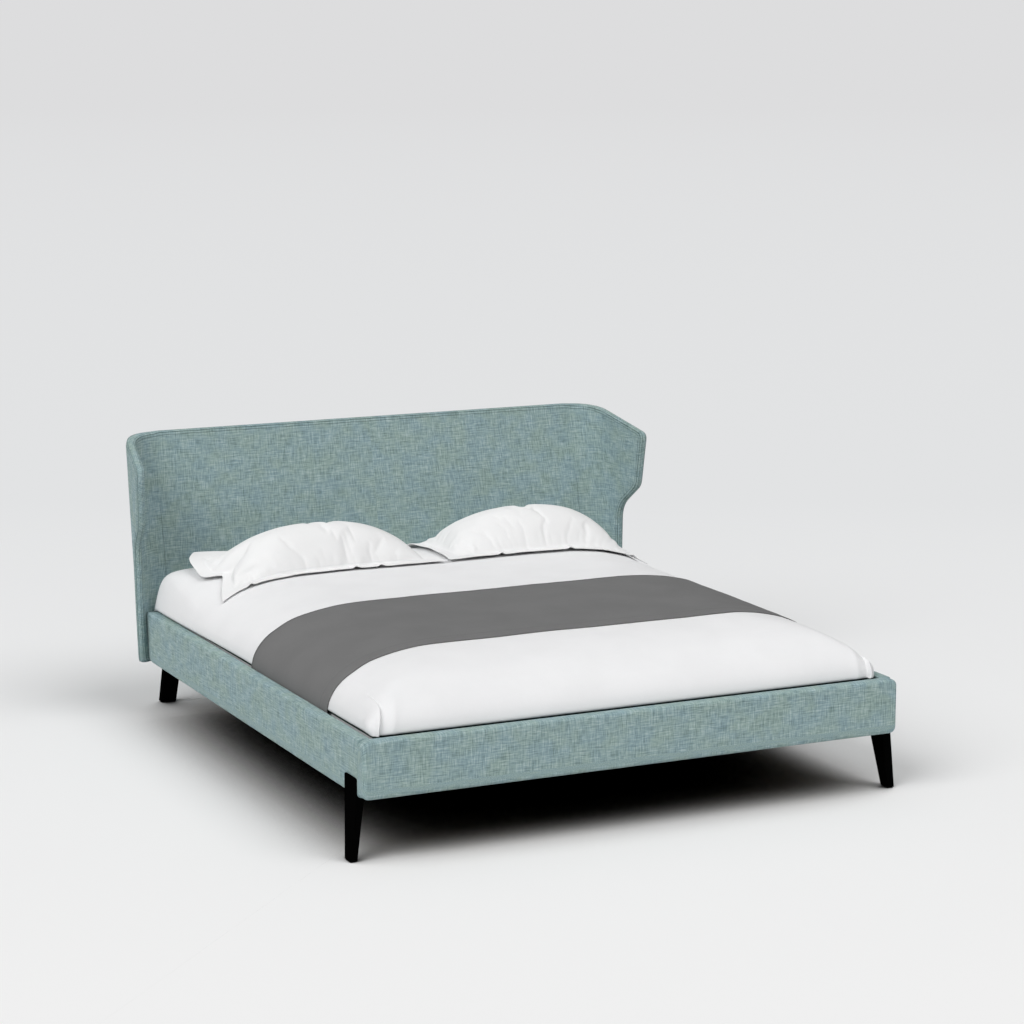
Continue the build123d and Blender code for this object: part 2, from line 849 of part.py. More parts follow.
def main():
    """Cuts the pieces to fit one another and writes each to its own file."""
    wing_core = wing_form(wing_padding)
    legs_front, legs_rear = front_leg(), rear_leg()
    behind_core = behind_plane(padding)
    side_core = side_core_form() - behind_core - wing_core
    side_whole = side_rail_form() - behind_core - wing_core
    foot_core = foot_core_form()
    foot_face = foot_core_back
    rear_holes = rear_leg_bolts(hole_clearance)
    front_holes = front_leg_bolts(hole_clearance)
    frame_holes = frame_bolts(hole_clearance)
    frame_wells = frame_bolts(hole_clearance, headboard_thickness)

    head_y, head_z = (head_rail_front, head_rail_back), (core_low, head_rail_high)
    head_timber = block((-core_inner_x, core_inner_x), head_y, head_z)
    foot_screws = bracket_screws(foot_face, 1)
    head_screws = bracket_screws(head_rail_front, -1)
    foot_holes = bracket_screws(foot_face, 1, hole_clearance)
    head_holes = bracket_screws(head_rail_front, -1, hole_clearance)
    ledge_holes = ledge_screws(hole_clearance)
    foot_hanger_holes = hanger_screws(foot_face, 1, hole_clearance)
    head_hanger_holes = hanger_screws(head_rail_front, -1, hole_clearance)

    board = headboard_slab(padding, headboard_thickness - padding, padding)
    panel = headboard_slab(headboard_thickness - padding, headboard_thickness, padding)
    board_cover = headboard_slab(0, headboard_thickness, 0) - board - panel
    save("headboard_core", [cut(board, both_sides(rear_holes))])
    save("headboard_padding", [board_cover])
    save("headboard_back_panel", [cut(panel, both_sides([legs_rear]))])
    save_pair("wing_core", [cut(wing_core, rear_holes + frame_wells)])
    save_pair("wing_padding", [cut(wing_form(0), [wing_core, side_whole, side_core, legs_rear])])
    save("headboard_bolts", both_sides(frame_bolts()))

    rail_holes = frame_holes + front_holes + foot_holes + head_holes + ledge_holes
    save_pair("rail_core", [cut(side_core, [legs_front] + rail_holes)])
    inside_rail = open_back((rail_thickness, rail_length + overrun), (0, core_inner_x))
    save_pair("rail_padding", [cut(side_whole, [side_core, inside_rail, legs_front])])
    save("foot_rail_core", [cut(foot_core, both_sides(foot_holes) + foot_hanger_holes)])
    inside_foot = open_back((foot_core_back, rail_thickness), (-core_outer_x, core_outer_x))
    side_ends = both_sides([side_core_form()])
    save("foot_rail_padding", [cut(foot_rail_form(), [foot_core, inside_foot] + side_ends)])
    save("head_rail", [cut(head_timber, both_sides(head_holes) + head_hanger_holes)])

    foot_angle = cut(bracket(foot_face, 1), foot_holes)
    head_angle = cut(bracket(head_rail_front, -1), head_holes)
    save("corner_brackets", both_sides([foot_angle, head_angle]))
    save("bracket_screws", both_sides(foot_screws + head_screws))
    save_pair("ledge", [cut(ledge(), ledge_holes)])
    save("ledge_screws", both_sides(ledge_screws()))

    foot_hanger = cut(hanger(foot_face, 1), foot_hanger_holes)
    head_hanger = cut(hanger(head_rail_front, -1), head_hanger_holes)
    save("centre_beam", [beam()])
    save("beam_hangers", [foot_hanger, head_hanger])
    save("hanger_screws", hanger_screws(foot_face, 1) + hanger_screws(head_rail_front, -1))

    places = [foot_face + (head_rail_front - foot_face) * share for share in support_shares]
    save("centre_supports", [support(y) for y in places])
    for name, y in zip(("front", "rear"), places):
        save(f"{name}_levelling_foot", [levelling_foot(y)])

    save_pair("front_leg", [cut(legs_front, front_holes)])
    save_pair("rear_leg", [cut(legs_rear, rear_holes)])
    save("leg_bolts", both_sides(front_leg_bolts() + rear_leg_bolts()))
    save("leg_glides", both_sides([glide(legs_front), glide(legs_rear)]))

    save_pair("base_sides", base_sides())
    save_pair("base_ends", base_ends())
    save_pair("slats", [slat(y) for y in slat_places()])
    save_pair("slat_holders", [cap for y in slat_places() for cap in slat_holders(y)])

    bedding = cover_form()
    save("mattress", [mattress_form(0)])
    save("mattress_cover", [bedding - mattress_form(seat_clearance)])
    save("bed_runner", [runner_form()])
    save("left_pillow", [pillow(left_pillow_span, bedding)])
    save("right_pillow", [pillow(right_pillow_span, bedding)])


main()
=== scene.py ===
"""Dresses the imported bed: upholstery, bedding, pillows, finishes, light and camera."""
import json
import logging
import math
from dataclasses import dataclass
from enum import Enum
from typing import Callable, Iterable, Sequence

import bmesh
import bpy
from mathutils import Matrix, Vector, kdtree, noise


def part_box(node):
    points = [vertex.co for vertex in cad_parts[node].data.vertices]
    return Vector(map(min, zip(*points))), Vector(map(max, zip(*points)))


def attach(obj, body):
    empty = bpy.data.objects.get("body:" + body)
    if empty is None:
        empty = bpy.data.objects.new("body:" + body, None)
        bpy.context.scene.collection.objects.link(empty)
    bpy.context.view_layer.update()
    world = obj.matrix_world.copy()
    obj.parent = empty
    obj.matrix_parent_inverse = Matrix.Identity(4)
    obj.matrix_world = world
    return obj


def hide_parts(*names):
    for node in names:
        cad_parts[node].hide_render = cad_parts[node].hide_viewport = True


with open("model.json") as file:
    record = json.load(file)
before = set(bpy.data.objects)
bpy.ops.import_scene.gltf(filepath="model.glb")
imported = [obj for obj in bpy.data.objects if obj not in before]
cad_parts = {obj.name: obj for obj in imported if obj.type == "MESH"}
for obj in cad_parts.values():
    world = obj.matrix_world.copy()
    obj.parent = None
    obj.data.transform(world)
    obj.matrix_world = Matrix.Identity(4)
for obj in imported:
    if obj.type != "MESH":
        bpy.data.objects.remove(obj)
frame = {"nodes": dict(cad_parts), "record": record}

logging.basicConfig(level=logging.INFO, format="%(message)s")
log = logging.getLogger("bed")

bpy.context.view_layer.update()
Pair = tuple[float, float]
Triple = tuple[float, float, float]
Point = Callable[[float, float, float], Vector]
Material = bpy.types.Material
Object = bpy.types.Object
Socket = bpy.types.NodeSocket


class Body(Enum):
    """The rigid bodies that pieces ride on."""

    FRAME = "frame_body"
    MATTRESS = "mattress_body"
    LEFT_PILLOW = "left_pillow_body"
    RIGHT_PILLOW = "right_pillow_body"


class Side(Enum):
    """The two sides of the bed, seen from its foot."""

    LEFT = -1
    RIGHT = 1

    @property
    def label(self) -> str:
        """The side's name as the CAD nodes use it."""
        return self.name.lower()


# Sizes


@dataclass(frozen=True)
class Sizes:
    """Sizes shared with the CAD source, in metres, measured from the foot rail's front face."""

    half_width: float = 0.960
    rail_length: float = 2.062
    rail_low: float = 0.203
    rail_high: float = 0.388
    rail_thickness: float = 0.044
    padding: float = 0.010
    flap: float = 0.060
    board_height: float = 1.030
    board_thickness: float = 0.044
    lean: float = math.radians(12)
    flare: float = math.radians(10.2)
    wing_x: float = 1.006
    wing_thin: float = 0.020
    wing_thick: float = 0.032
    corner_low: float = 0.052
    corner_high: float = 0.120
    corner_full: float = 0.559
    ear_y: float = 1.906

    foot_y: float = float(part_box("foot_rail_padding")[0][1])

    def row(self, x: float, y: float, z: float) -> Vector:
        """A point measured from the foot rail's front face, in the row frame."""
        return Vector((x, y + self.foot_y, z))

    def board_y(self, z: float) -> float:
        """Front face of the headboard's middle panel at height z."""
        return self.rail_length + (z - self.rail_low) * math.tan(self.lean)


SIZES = Sizes()


# Small helpers


def lerp(a: float, b: float, t: float) -> float:
    """The value a share t of the way from a to b."""
    return a + (b - a) * t


def clamp(value: float, low: float = 0.0, high: float = 1.0) -> float:
    """The value held between low and high."""
    return max(low, min(high, value))


def smooth_step(edge_low: float, edge_high: float, value: float) -> float:
    """A soft step from 0 at edge_low to 1 at edge_high."""
    t = clamp((value - edge_low) / (edge_high - edge_low))
    return t * t * (3 - 2 * t)


def curve_at(points: Sequence[Pair], value: float) -> float:
    """A smooth curve through (place, height) points, read at one place.

    Args:
        points: places in rising order, each with its height.
        value: the place to read at.

    Returns:
        The height there, with level ends outside the points.
    """
    if value <= points[0][0]:
        return points[0][1]
    if value >= points[-1][0]:
        return points[-1][1]
    i = next(k for k in range(1, len(points)) if value <= points[k][0])
    (x0, y0), (x1, y1) = points[i - 1], points[i]

    def slope(k: int) -> float:
        before, after = points[max(k - 1, 0)], points[min(k + 1, len(points) - 1)]
        return (after[1] - before[1]) / (after[0] - before[0])

    t, h = (value - x0) / (x1 - x0), x1 - x0
    a, b = slope(i - 1) * h, slope(i) * h
    start, leave = 2 * t**3 - 3 * t**2 + 1, t**3 - 2 * t**2 + t
    end, arrive = 3 * t**2 - 2 * t**3, t**3 - t**2
    return start * y0 + leave * a + end * y1 + arrive * b


def bell(value: float, centre: float, width: float) -> float:
    """1 at centre, fading to almost 0 at twice the width from it."""
    return math.exp(-(((value - centre) / width) ** 2))


def fillet(radius: float, distance: float) -> float:
    """How far a rounded edge stands back at a distance from its end."""
    return radius - math.sqrt(max(0.0, radius**2 - max(0.0, radius - distance) ** 2))


def wobble(point: Vector, scale: float, seed: float = 0.0) -> float:
    """Smooth noise from -1 to 1 with features about scale metres across."""
    x, y, z = (c / scale for c in point)
    return noise.noise(Vector((x + seed, y - seed, z + 2 * seed)))


def rounded(corners: Sequence[Triple], steps: int, closed: bool = True) -> list[Pair]:
    """Points along a polygon whose corners are rounded.

    Args:
        corners: each corner as (x, y, radius).
        steps: points per rounded corner.
        closed: whether the last corner joins the first.

    Returns:
        The outline's points in order.
    """
    points: list[Pair] = []
    count = len(corners)
    for i, (x, y, radius) in enumerate(corners):
        here = Vector((x, y))
        if not radius or (not closed and i in (0, count - 1)):
            points.append((x, y))
            continue
        into = (here - Vector(corners[i - 1][:2])).normalized()
        out = (Vector(corners[(i + 1) % count][:2]) - here).normalized()
        turn = into.angle(out)
        reach = radius * math.tan(turn / 2)
        inward = (out - into).normalized()
        centre = here + inward * (radius / math.cos(turn / 2))
        start = here - into * reach - centre
        sign = 1 if into.x * out.y - into.y * out.x > 0 else -1
        for k in range(steps + 1):
            angle = sign * turn * k / steps
            c, s = math.cos(angle), math.sin(angle)
            across, along = start.x * c - start.y * s, start.x * s + start.y * c
            points.append((centre.x + across, centre.y + along))
    return points


def lengths_to(points: Sequence[Pair]) -> list[float]:
    """The length along a line to each of its points."""
    lengths = [0.0]
    for a, b in zip(points, points[1:]):
        lengths.append(lengths[-1] + math.dist(a, b))
    return lengths


def even(points: Sequence[Pair], count: int) -> list[Pair]:
    """Points spaced evenly by length along an open line."""
    lengths = lengths_to(points)
    result = []
    k = 0
    for i in range(count):
        want = lengths[-1] * (i / (count - 1))
        while k < len(points) - 2 and lengths[k + 1] < want:
            k += 1
        span = lengths[k + 1] - lengths[k]
        t = clamp((want - lengths[k]) / span) if span else 0.0
        a, b = points[k], points[k + 1]
        result.append((lerp(a[0], b[0], t), lerp(a[1], b[1], t)))
    return result


class Surface:
    """Vertices and faces of one piece while it is being made, with cloth coordinates and seams."""

    def __init__(self, name: str) -> None:
        self.name = name
        self.points: list[Vector] = []
        self.cloth: list[Pair] = []
        self.seam: list[float] = []
        self.faces: list[tuple[int, ...]] = []

    def add(self, point: Vector, cloth: Pair = (0.0, 0.0), seam: float = 1.0) -> int:
        """Adds a vertex and returns its number."""
        self.points.append(Vector(point))
        self.cloth.append(cloth)
        self.seam.append(seam)
        return len(self.points) - 1

    def strip(self, first: Sequence[int], second: Sequence[int], closed: bool = False) -> None:
        """Joins two rows of vertices with faces."""
        count = len(first)
        for i in range(count if closed else count - 1):
            j = (i + 1) % count
            self.faces.append((first[i], first[j], second[j], second[i]))

    def sheet(self, rows: Sequence[Sequence[int]], closed: bool = False) -> None:
        """Joins each row of vertices to the next."""
        for first, second in zip(rows, rows[1:]):
            self.strip(first, second, closed)

    def shell(self, top: Sequence[Sequence[int]], low: Sequence[Sequence[int]]) -> None:
        """Joins the rows of two layers, and the layers to each other along all four edges."""
        self.sheet(top)
        self.sheet(low)
        for k in (0, -1):
            self.strip(top[k], low[k])
        for k in (0, -1):
            self.strip([row[k] for row in top], [row[k] for row in low])

    def build(self, mirror: bool = False, merge: float = 1e-5) -> Object:
        """Makes the object, with faces outwards, its cloth coordinates as UV map and its seam
        distances as attribute.

        Args:
            mirror: whether to add the mirror image in X and join the two.
            merge: how near vertices are joined.

        Returns:
            The object, linked to the scene.
        """
        mesh = bpy.data.meshes.new(self.name)
        bm = bmesh.new()
        seam_layer = bm.verts.layers.float.new("seam")
        uv_layer = bm.loops.layers.uv.new("cloth")
        for sign in (1, -1) if mirror else (1,):
            made = []
            for point, seam in zip(self.points, self.seam):
                vertex = bm.verts.new((point.x * sign, point.y, point.z))
                vertex[seam_layer] = seam
                made.append(vertex)
            for face in self.faces:
                corners = list(dict.fromkeys(face))[::sign]
                if len(corners) < 3:
                    continue
                new = bm.faces.new([made[k] for k in corners])
                new.smooth = True
                for loop, k in zip(new.loops, corners):
                    loop[uv_layer].uv = (self.cloth[k][0] * sign, self.cloth[k][1])
        bmesh.ops.remove_doubles(bm, verts=bm.verts, dist=merge)
        bmesh.ops.recalc_face_normals(bm, faces=bm.faces)
        bm.to_mesh(mesh)
        bm.free()
        obj = bpy.data.objects.new(self.name, mesh)
        bpy.context.scene.collection.objects.link(obj)
        return obj


def only(obj: Object) -> None:
    """Makes obj the one selected and active object."""
    bpy.ops.object.select_all(action="DESELECT")
    obj.select_set(True)
    bpy.context.view_layer.objects.active = obj


def subdivide(obj: Object) -> None:
    """Rounds obj by one level of subdivision."""
    modifier = obj.modifiers.new("round", "SUBSURF")
    modifier.levels = modifier.render_levels = 1
    only(obj)
    bpy.ops.object.modifier_apply(modifier=modifier.name)
    bpy.ops.object.shade_smooth()


def settle(obj: Object, body: Body, nodes: Iterable[str], material: Material) -> None:
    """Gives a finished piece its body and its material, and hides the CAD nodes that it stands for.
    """
    obj.data.materials.clear()
    obj.data.materials.append(material)
    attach(obj, body.value)
    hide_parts(*nodes)
    log.info("%s: %d faces", obj.name, len(obj.data.polygons))


# Finishes


@dataclass(frozen=True)
class Finish:
    """One material's plain facts.

    Attributes:
        name: the material's name.
        base: the main colour as sRGB hex.
        light: a lighter tone of it.
        dark: a darker tone of it.
        roughness: the shader's roughness.
        sheen: weight of the cloth sheen.
        metallic: 1 for bare metal.
        coat: weight of a clear coat.
        shine: the shader's specular level.
    """

    name: str
    base: str
    light: str = ""
    dark: str = ""
    roughness: float = 0.8
    sheen: float = 0.0
    metallic: float = 0.0
    coat: float = 0.0
    shine: float = 0.5


def linear(code: str) -> tuple[float, float, float, float]:
    """An sRGB hex colour as linear RGBA."""
    parts = [int(code[i : i + 2], 16) / 255 for i in (1, 3, 5)]
    channels = [c / 12.92 if c <= 0.04045 else ((c + 0.055) / 1.055) ** 2.4 for c in parts]
    return channels[0], channels[1], channels[2], 1.0


def add_node(
    tree: bpy.types.NodeTree, kind: str, inputs: object = (), output: object = 0, **settings: object
) -> Socket:
    """Adds a shader node with its settings and links.

    Args:
        tree: the node tree.
        kind: the node's type, without its ShaderNode prefix.
        inputs: numbers, hex colours or sockets, in the order of the inputs or by their key.
        output: the key of the output that is returned.
        settings: the node's properties.

    Returns:
        The output.
    """
    made = tree.nodes.new(f"ShaderNode{kind}")
    for key, value in settings.items():
        setattr(made, key, value)
    for key, value in inputs.items() if isinstance(inputs, dict) else enumerate(inputs):
        if isinstance(value, Socket):
            tree.links.new(value, made.inputs[key])
        else:
            made.inputs[key].default_value = linear(value) if isinstance(value, str) else value
    return made.outputs[output]


class Shader:
    """A node material under construction."""

    def __init__(self, finish: Finish) -> None:
        self.finish = finish
        self.material = bpy.data.materials.new(finish.name)
        self.material.use_nodes = True
        self.tree = self.material.node_tree
        self.main = self.tree.nodes["Principled BSDF"]
        values = {
            "Base Color": linear(finish.base),
            "Roughness": finish.roughness,
            "Metallic": finish.metallic,
            "Specular IOR Level": finish.shine,
            "Sheen Weight": finish.sheen,
            "Sheen Roughness": 0.6,
            "Coat Weight": finish.coat,
            "Coat Roughness": 0.25,
        }
        for key, value in values.items():
            self.main.inputs[key].default_value = value

    def node(
        self, kind: str, inputs: object = (), output: object = 0, **settings: object
    ) -> Socket:
        """Adds a node to this material; see add_node."""
        return add_node(self.tree, kind, inputs, output, **settings)

    def feed(self, key: str, value: Socket) -> None:
        """Links a value to one of the main shader's inputs."""
        self.tree.links.new(value, self.main.inputs[key])

    def place(self, x: float = 1.0, y: float = 1.0, z: float = 1.0, cloth: bool = False) -> Socket:
        """Coordinates in metres times a scale: the object's own, or along the cloth."""
        if cloth:
            where = self.node("UVMap", uv_map="cloth")
        else:
            where = self.node("TexCoord", output="Object")
        return self.node("Mapping", {"Vector": where, "Scale": (x, y, z)})

    def paint(
        self, value: Socket, low: float, high: float, under: object, over: object, *share: float
    ) -> Socket:
        """Lays one colour over another where a value passes from low to high.

        Args:
            value: the value to follow.
            low: where the change starts.
            high: where it ends.
            under: the first colour, a hex code or a socket.
            over: the second colour.
            share: how much of the second colour shows at low and at high, 0 and 1 if not given.

        Returns:
            The colour.
        """
        cover = self.node("MapRange", (value, low, high, *share))
        return self.node("Mix", {0: cover, 6: under, 7: over}, 2, data_type="RGBA")

    def away(self, value: Socket, centre: float) -> Socket:
        """How far a value is from centre."""
        apart = self.node("Math", (value, centre), operation="SUBTRACT")
        return self.node("Math", (apart,), operation="ABSOLUTE")

    def seam(self, centre: float, half: float) -> Socket:
        """1 on a line at a distance from the piece's seam, and 0 from half its width on."""
        away = self.away(self.node("Attribute", output="Fac", attribute_name="seam"), centre)
        return self.node("MapRange", (away, half * 0.3, half, 1.0, 0.0))

    def roughen(self, value: Socket, less: float, more: float) -> None:
        """Lets the roughness follow a pattern, from less than the finish's own to more."""
        rough = self.finish.roughness
        self.feed("Roughness", self.node("MapRange", (value, 0.3, 0.7, rough - less, rough + more)))

    def relief(self, *layers: tuple[Socket, float, float]) -> None:
        """Lays bumps over each other, each as (height, size in metres, strength)."""
        below = {}
        for height, distance, strength in layers:
            inputs = {"Height": height, "Distance": distance, "Strength": strength}
            below = {"Normal": self.node("Bump", inputs | below)}
        self.feed("Normal", below["Normal"])


class Finishes:
    """All the materials of the bed, each made once, with patterns scaled in features per metre."""

    def __init__(self) -> None:
        cloth = {"roughness": 0.9, "sheen": 0.03, "shine": 0.1}
        linen = Finish("upholstery_linen", "#8EA4A4", "#B2C5C5", "#687F80", 0.92, 0.05, shine=0.1)
        white = Finish("bedding_cotton", "#E6E6E7", "#E9E9EA", "#DCDDDE", **cloth)
        pillow = Finish("pillow_cotton", "#E7E7E7", "#EBEBEB", "#DDDEDF", **cloth)
        grey = Finish("runner_cotton", "#727272", "#767676", "#666666", 0.95, shine=0.1)
        knit = Finish("mattress_ticking", "#E4E4E1", "#EDEDEB", "#D2D2CE", 0.85, 0.05, shine=0.1)
        black = Finish("leg_lacquer", "#030303", "#060606", "#020202", 0.5, shine=0.0)
        pine = Finish("core_softwood", "#C9A578", "#DCBE93", "#A8824F", 0.7)
        birch = Finish("slat_birch", "#D9BC8C", "#E8D2A8", "#BC9862", 0.45, coat=0.15)
        powder = Finish("steel_powder", "#1B1B1D", "#232326", "#131315", 0.5)
        zinc = Finish("screw_zinc", "#B9BCC0", "#CDD0D3", "#94979B", 0.35, metallic=1.0)
        rubber = Finish("holder_rubber", "#171717", "#1E1E1E", "#101010", 0.75, shine=0.25)
        felt = Finish("glide_felt", "#202020", "#2A2A2A", "#161616", 0.95, shine=0.1)
        self.upholstery = self.linen(linen)
        # The bedding's cotton gets a band of painted shade just below the rails' top.
        self.bedding = self.cotton(white, gap_shade_level=SIZES.rail_high - 0.004)
        self.pillow = self.cotton(pillow, seams=True)
        self.runner = self.cotton(grey, seams=True)
        self.ticking = self.quilted(knit)
        self.lacquer = self.lacquered(black)
        self.softwood, self.birch = self.timber(pine), self.timber(birch)
        self.powder, self.rubber, self.felt = (self.coated(f) for f in (powder, rubber, felt))
        self.zinc = self.plated(zinc)

    def linen(self, finish: Finish) -> Material:
        """Linen-look cloth, woven of uneven yarns that were dyed first: matt and heathered."""
        s = Shader(finish)
        # Yarns 2 and 5 mm wide with slubs 28 and 67 mm long; real yarns of 0.5 mm would not show.
        fine, thick = (470, 36), (215, 15)
        yarns = [
            s.node("TexNoise", {"Vector": where, "Scale": 1.0, "Detail": 1.0, "Roughness": 0.6})
            for pair in (fine, thick)
            for where in (s.place(*pair, cloth=True), s.place(*pair[::-1], cloth=True))
        ]
        pairs = [s.node("Math", yarns[k : k + 2], operation="ADD") for k in (0, 2)]
        yarns = s.node("Math", pairs, operation="ADD")
        # Dye lots drift from bluer to greener over 90 mm.
        where = s.place(11, 11, cloth=True)
        drift = {"Vector": where, "Scale": 1.0, "Detail": 3.0, "Roughness": 0.55}
        tone = s.paint(s.node("TexNoise", drift), 0.38, 0.62, "#8BA3A8", "#91A6A0")
        lit = s.paint(yarns, 2.0, 2.5, tone, finish.light, 0.0, 0.95)
        color = s.paint(yarns, 1.5, 1.98, lit, finish.dark, 0.95, 0.0)

        # The seam round each face, 8 mm wide so that it shows, and a fainter row 10.5 mm inside it.
        inner = s.node("Math", (s.seam(0.0105, 0.0020), 0.6), operation="MULTIPLY")
        edges = s.node("Math", (s.seam(0.0, 0.0042), inner), operation="MAXIMUM")
        # The seams at both ends of the headboard's middle panel, below the pillows' tops.
        where = s.place()
        x, y, z = (s.node("SeparateXYZ", (where,), axis) for axis in "XYZ")
        line = s.node("MapRange", (s.away(s.away(x, 0.0), 0.862), 0.0008, 0.0024, 0.55, 0.0))
        for near in (
            s.node("MapRange", (z, 0.70, 0.80, 1.0, 0.0)),
            s.node("MapRange", (y, 0.90, 0.91)),
        ):
            line = s.node("Math", (line, near), operation="MULTIPLY")
        line = s.node("Math", (edges, line), operation="MAXIMUM")
        s.feed("Base Color", s.paint(line, 0.0, 1.0, color, "#3F5555", 0.0, 0.80))

        # The weave's ribs, 1.7 mm apart both ways, stand up most where the thick yarns are.
        where = s.place(cloth=True)
        ribs = {"Vector": where, "Scale": 180.0, "Distortion": 0.4, "Detail Scale": 2.0}
        weave = [s.node("TexWave", ribs, "Fac", bands_direction=way) for way in "XY"]
        weave = s.node("Math", weave, operation="MULTIPLY")
        slubs = s.node("Math", (yarns, 0.5), operation="MULTIPLY")
        cloth = s.node("Math", (weave, slubs), operation="ADD")
        groove = s.node("Math", (line, -1.0), operation="MULTIPLY")
        s.relief((groove, 0.0012, 0.8), (cloth, 0.0004, 0.6))
        return s.material

    def cotton(self, finish: Finish, seams: bool = False, gap_shade_level: float = 0.0) -> Material:
        """Plain woven cotton, bleached or dyed and washed: matt, soft and faintly uneven.

        Args:
            finish: its colours.
            seams: whether it shows a dark line where the seam value is small: stitched seams, and
                on the runner also painted shade along its crease.
            gap_shade_level: the height of a band of painted shade for the dark gap where the cover
                goes down inside the rails, or 0 for none.

        Returns:
            The material.
        """
        s = Shader(finish)
        where = s.place()
        # Threads 1 mm wide, coarser than real ones so that they show; tone drifts over 140 mm.
        threads = s.node("TexNoise", {"Vector": where, "Scale": 900.0, "Detail": 1.0})
        drift = s.node("TexNoise", {"Vector": where, "Scale": 7.0, "Detail": 3.0})
        tone = s.paint(drift, 0.35, 0.65, finish.base, finish.light)
        color = s.paint(threads, 0.3, 0.55, tone, finish.dark, 0.35, 0.0)
        # Washing leaves soft creases 26 mm apart.
        creases = {"Vector": where, "Scale": 38.0, "Detail": 3.0, "Roughness": 0.55}
        relief = [(threads, 0.0002, 0.35), (s.node("TexNoise", creases), 0.0012, 0.25)]
        if seams:
            line = s.seam(0.0, 0.0022)
            color = s.paint(line, 0.0, 1.0, color, finish.dark, 0.0, 0.5)
            relief.insert(0, (s.node("Math", (line, -1.0), operation="MULTIPLY"), 0.0008, 0.7))
        if gap_shade_level:
            # Painted shade, 12 mm high with edges 2 mm soft: the dark gap line where the cover goes
            # down inside the rails.
            level = s.node("SeparateXYZ", (where,), "Z")
            below = s.node("MapRange", (level, gap_shade_level + 0.005, gap_shade_level + 0.007, 1.0, 0.0))
            above = s.node("MapRange", (level, gap_shade_level - 0.007, gap_shade_level - 0.005))
            band = s.node("Math", (below, above), operation="MULTIPLY")
            color = s.paint(band, 0.0, 1.0, color, "#2A3434")
        s.feed("Base Color", color)
        s.relief(*relief)
        return s.material

    def quilted(self, finish: Finish) -> Material:
        """Polyester ticking, knitted and quilted: a soft matt skin with broad slanted waves."""
        s = Shader(finish)
        # Quilting waves 140 mm apart, and knitted loops 1.7 mm wide.
        quilt = {"Vector": s.place(), "Scale": 2.2, "Detail Scale": 2.0}
        waves = s.node("TexWave", quilt, "Fac", bands_direction="DIAGONAL")
        knit = s.node("TexNoise", {"Vector": s.place(), "Scale": 600.0, "Detail": 1.0})
        s.feed("Base Color", s.paint(knit, 0.35, 0.65, finish.dark, finish.light))
        s.relief((s.node("MapRange", (waves, 0.0, 0.25)), 0.003, 0.5), (knit, 0.0003, 0.4))
        return s.material

    def lacquered(self, finish: Finish) -> Material:
        """Beech planks, sanded, stained and sprayed with black lacquer: satin, with paler edges."""
        s = Shader(finish)
        # Grain lines 6 mm apart and 110 mm long, up the leg.
        where = s.place(160, 160, 9)
        grain = {"Vector": where, "Scale": 1.0, "Detail": 4.0, "Roughness": 0.6}
        grain = s.node("TexNoise", grain)
        edges = s.node("NewGeometry", output="Pointiness")
        black = s.paint(grain, 0.0, 1.0, finish.dark, finish.base)
        s.feed("Base Color", s.paint(edges, 0.52, 0.6, black, finish.light, 0.0, 0.5))
        s.roughen(grain, 0.05, 0.10)
        s.relief((grain, 0.0002, 0.3))
        return s.material

    def timber(self, finish: Finish) -> Material:
        """Pine, planed, or birch, peeled and glued: pale, sanded, with darker lines of grain."""
        s = Shader(finish)
        # Grain lines 6 mm apart and 100 mm long, over broader year rings.
        grain = {"Vector": s.place(3.2, 3.2, 60), "Scale": 3.0, "Detail": 5.0, "Roughness": 0.6}
        grain = s.node("TexNoise", grain)
        rings = {"Vector": s.place(4, 4, 40), "Scale": 1.2, "Distortion": 6.0, "Detail Scale": 2.0}
        rings = s.node("TexWave", rings, "Fac", bands_direction="Z")
        pale = s.paint(rings, 0.0, 1.0, finish.base, finish.light)
        s.feed("Base Color", s.paint(grain, 0.35, 0.65, pale, finish.dark))
        s.roughen(grain, 0.08, 0.08)
        s.relief((grain, 0.0003, 0.4))
        return s.material

    def coated(self, finish: Finish) -> Material:
        """Steel that was powder-coated, moulded rubber or pressed felt: a dark, dimpled skin."""
        s = Shader(finish)
        # Dimples 1.4 mm wide, coarser than real ones so that they show.
        grain = s.node("TexNoise", {"Vector": s.place(), "Scale": 700.0, "Detail": 2.0})
        s.feed("Base Color", s.paint(grain, 0.35, 0.65, finish.dark, finish.light))
        s.roughen(grain, 0.05, 0.08)
        s.relief((grain, 0.0002, 0.4))
        return s.material

    def plated(self, finish: Finish) -> Material:
        """Steel, cold-formed and zinc-plated: bright, with a faint mottle."""
        s = Shader(finish)
        # Crystals 4 mm across.
        mottle = s.node("TexNoise", {"Vector": s.place(), "Scale": 260.0, "Detail": 3.0})
        s.feed("Base Color", s.paint(mottle, 0.3, 0.7, finish.dark, finish.light))
        s.roughen(mottle, 0.08, 0.10)
        return s.material


# Upholstered frame


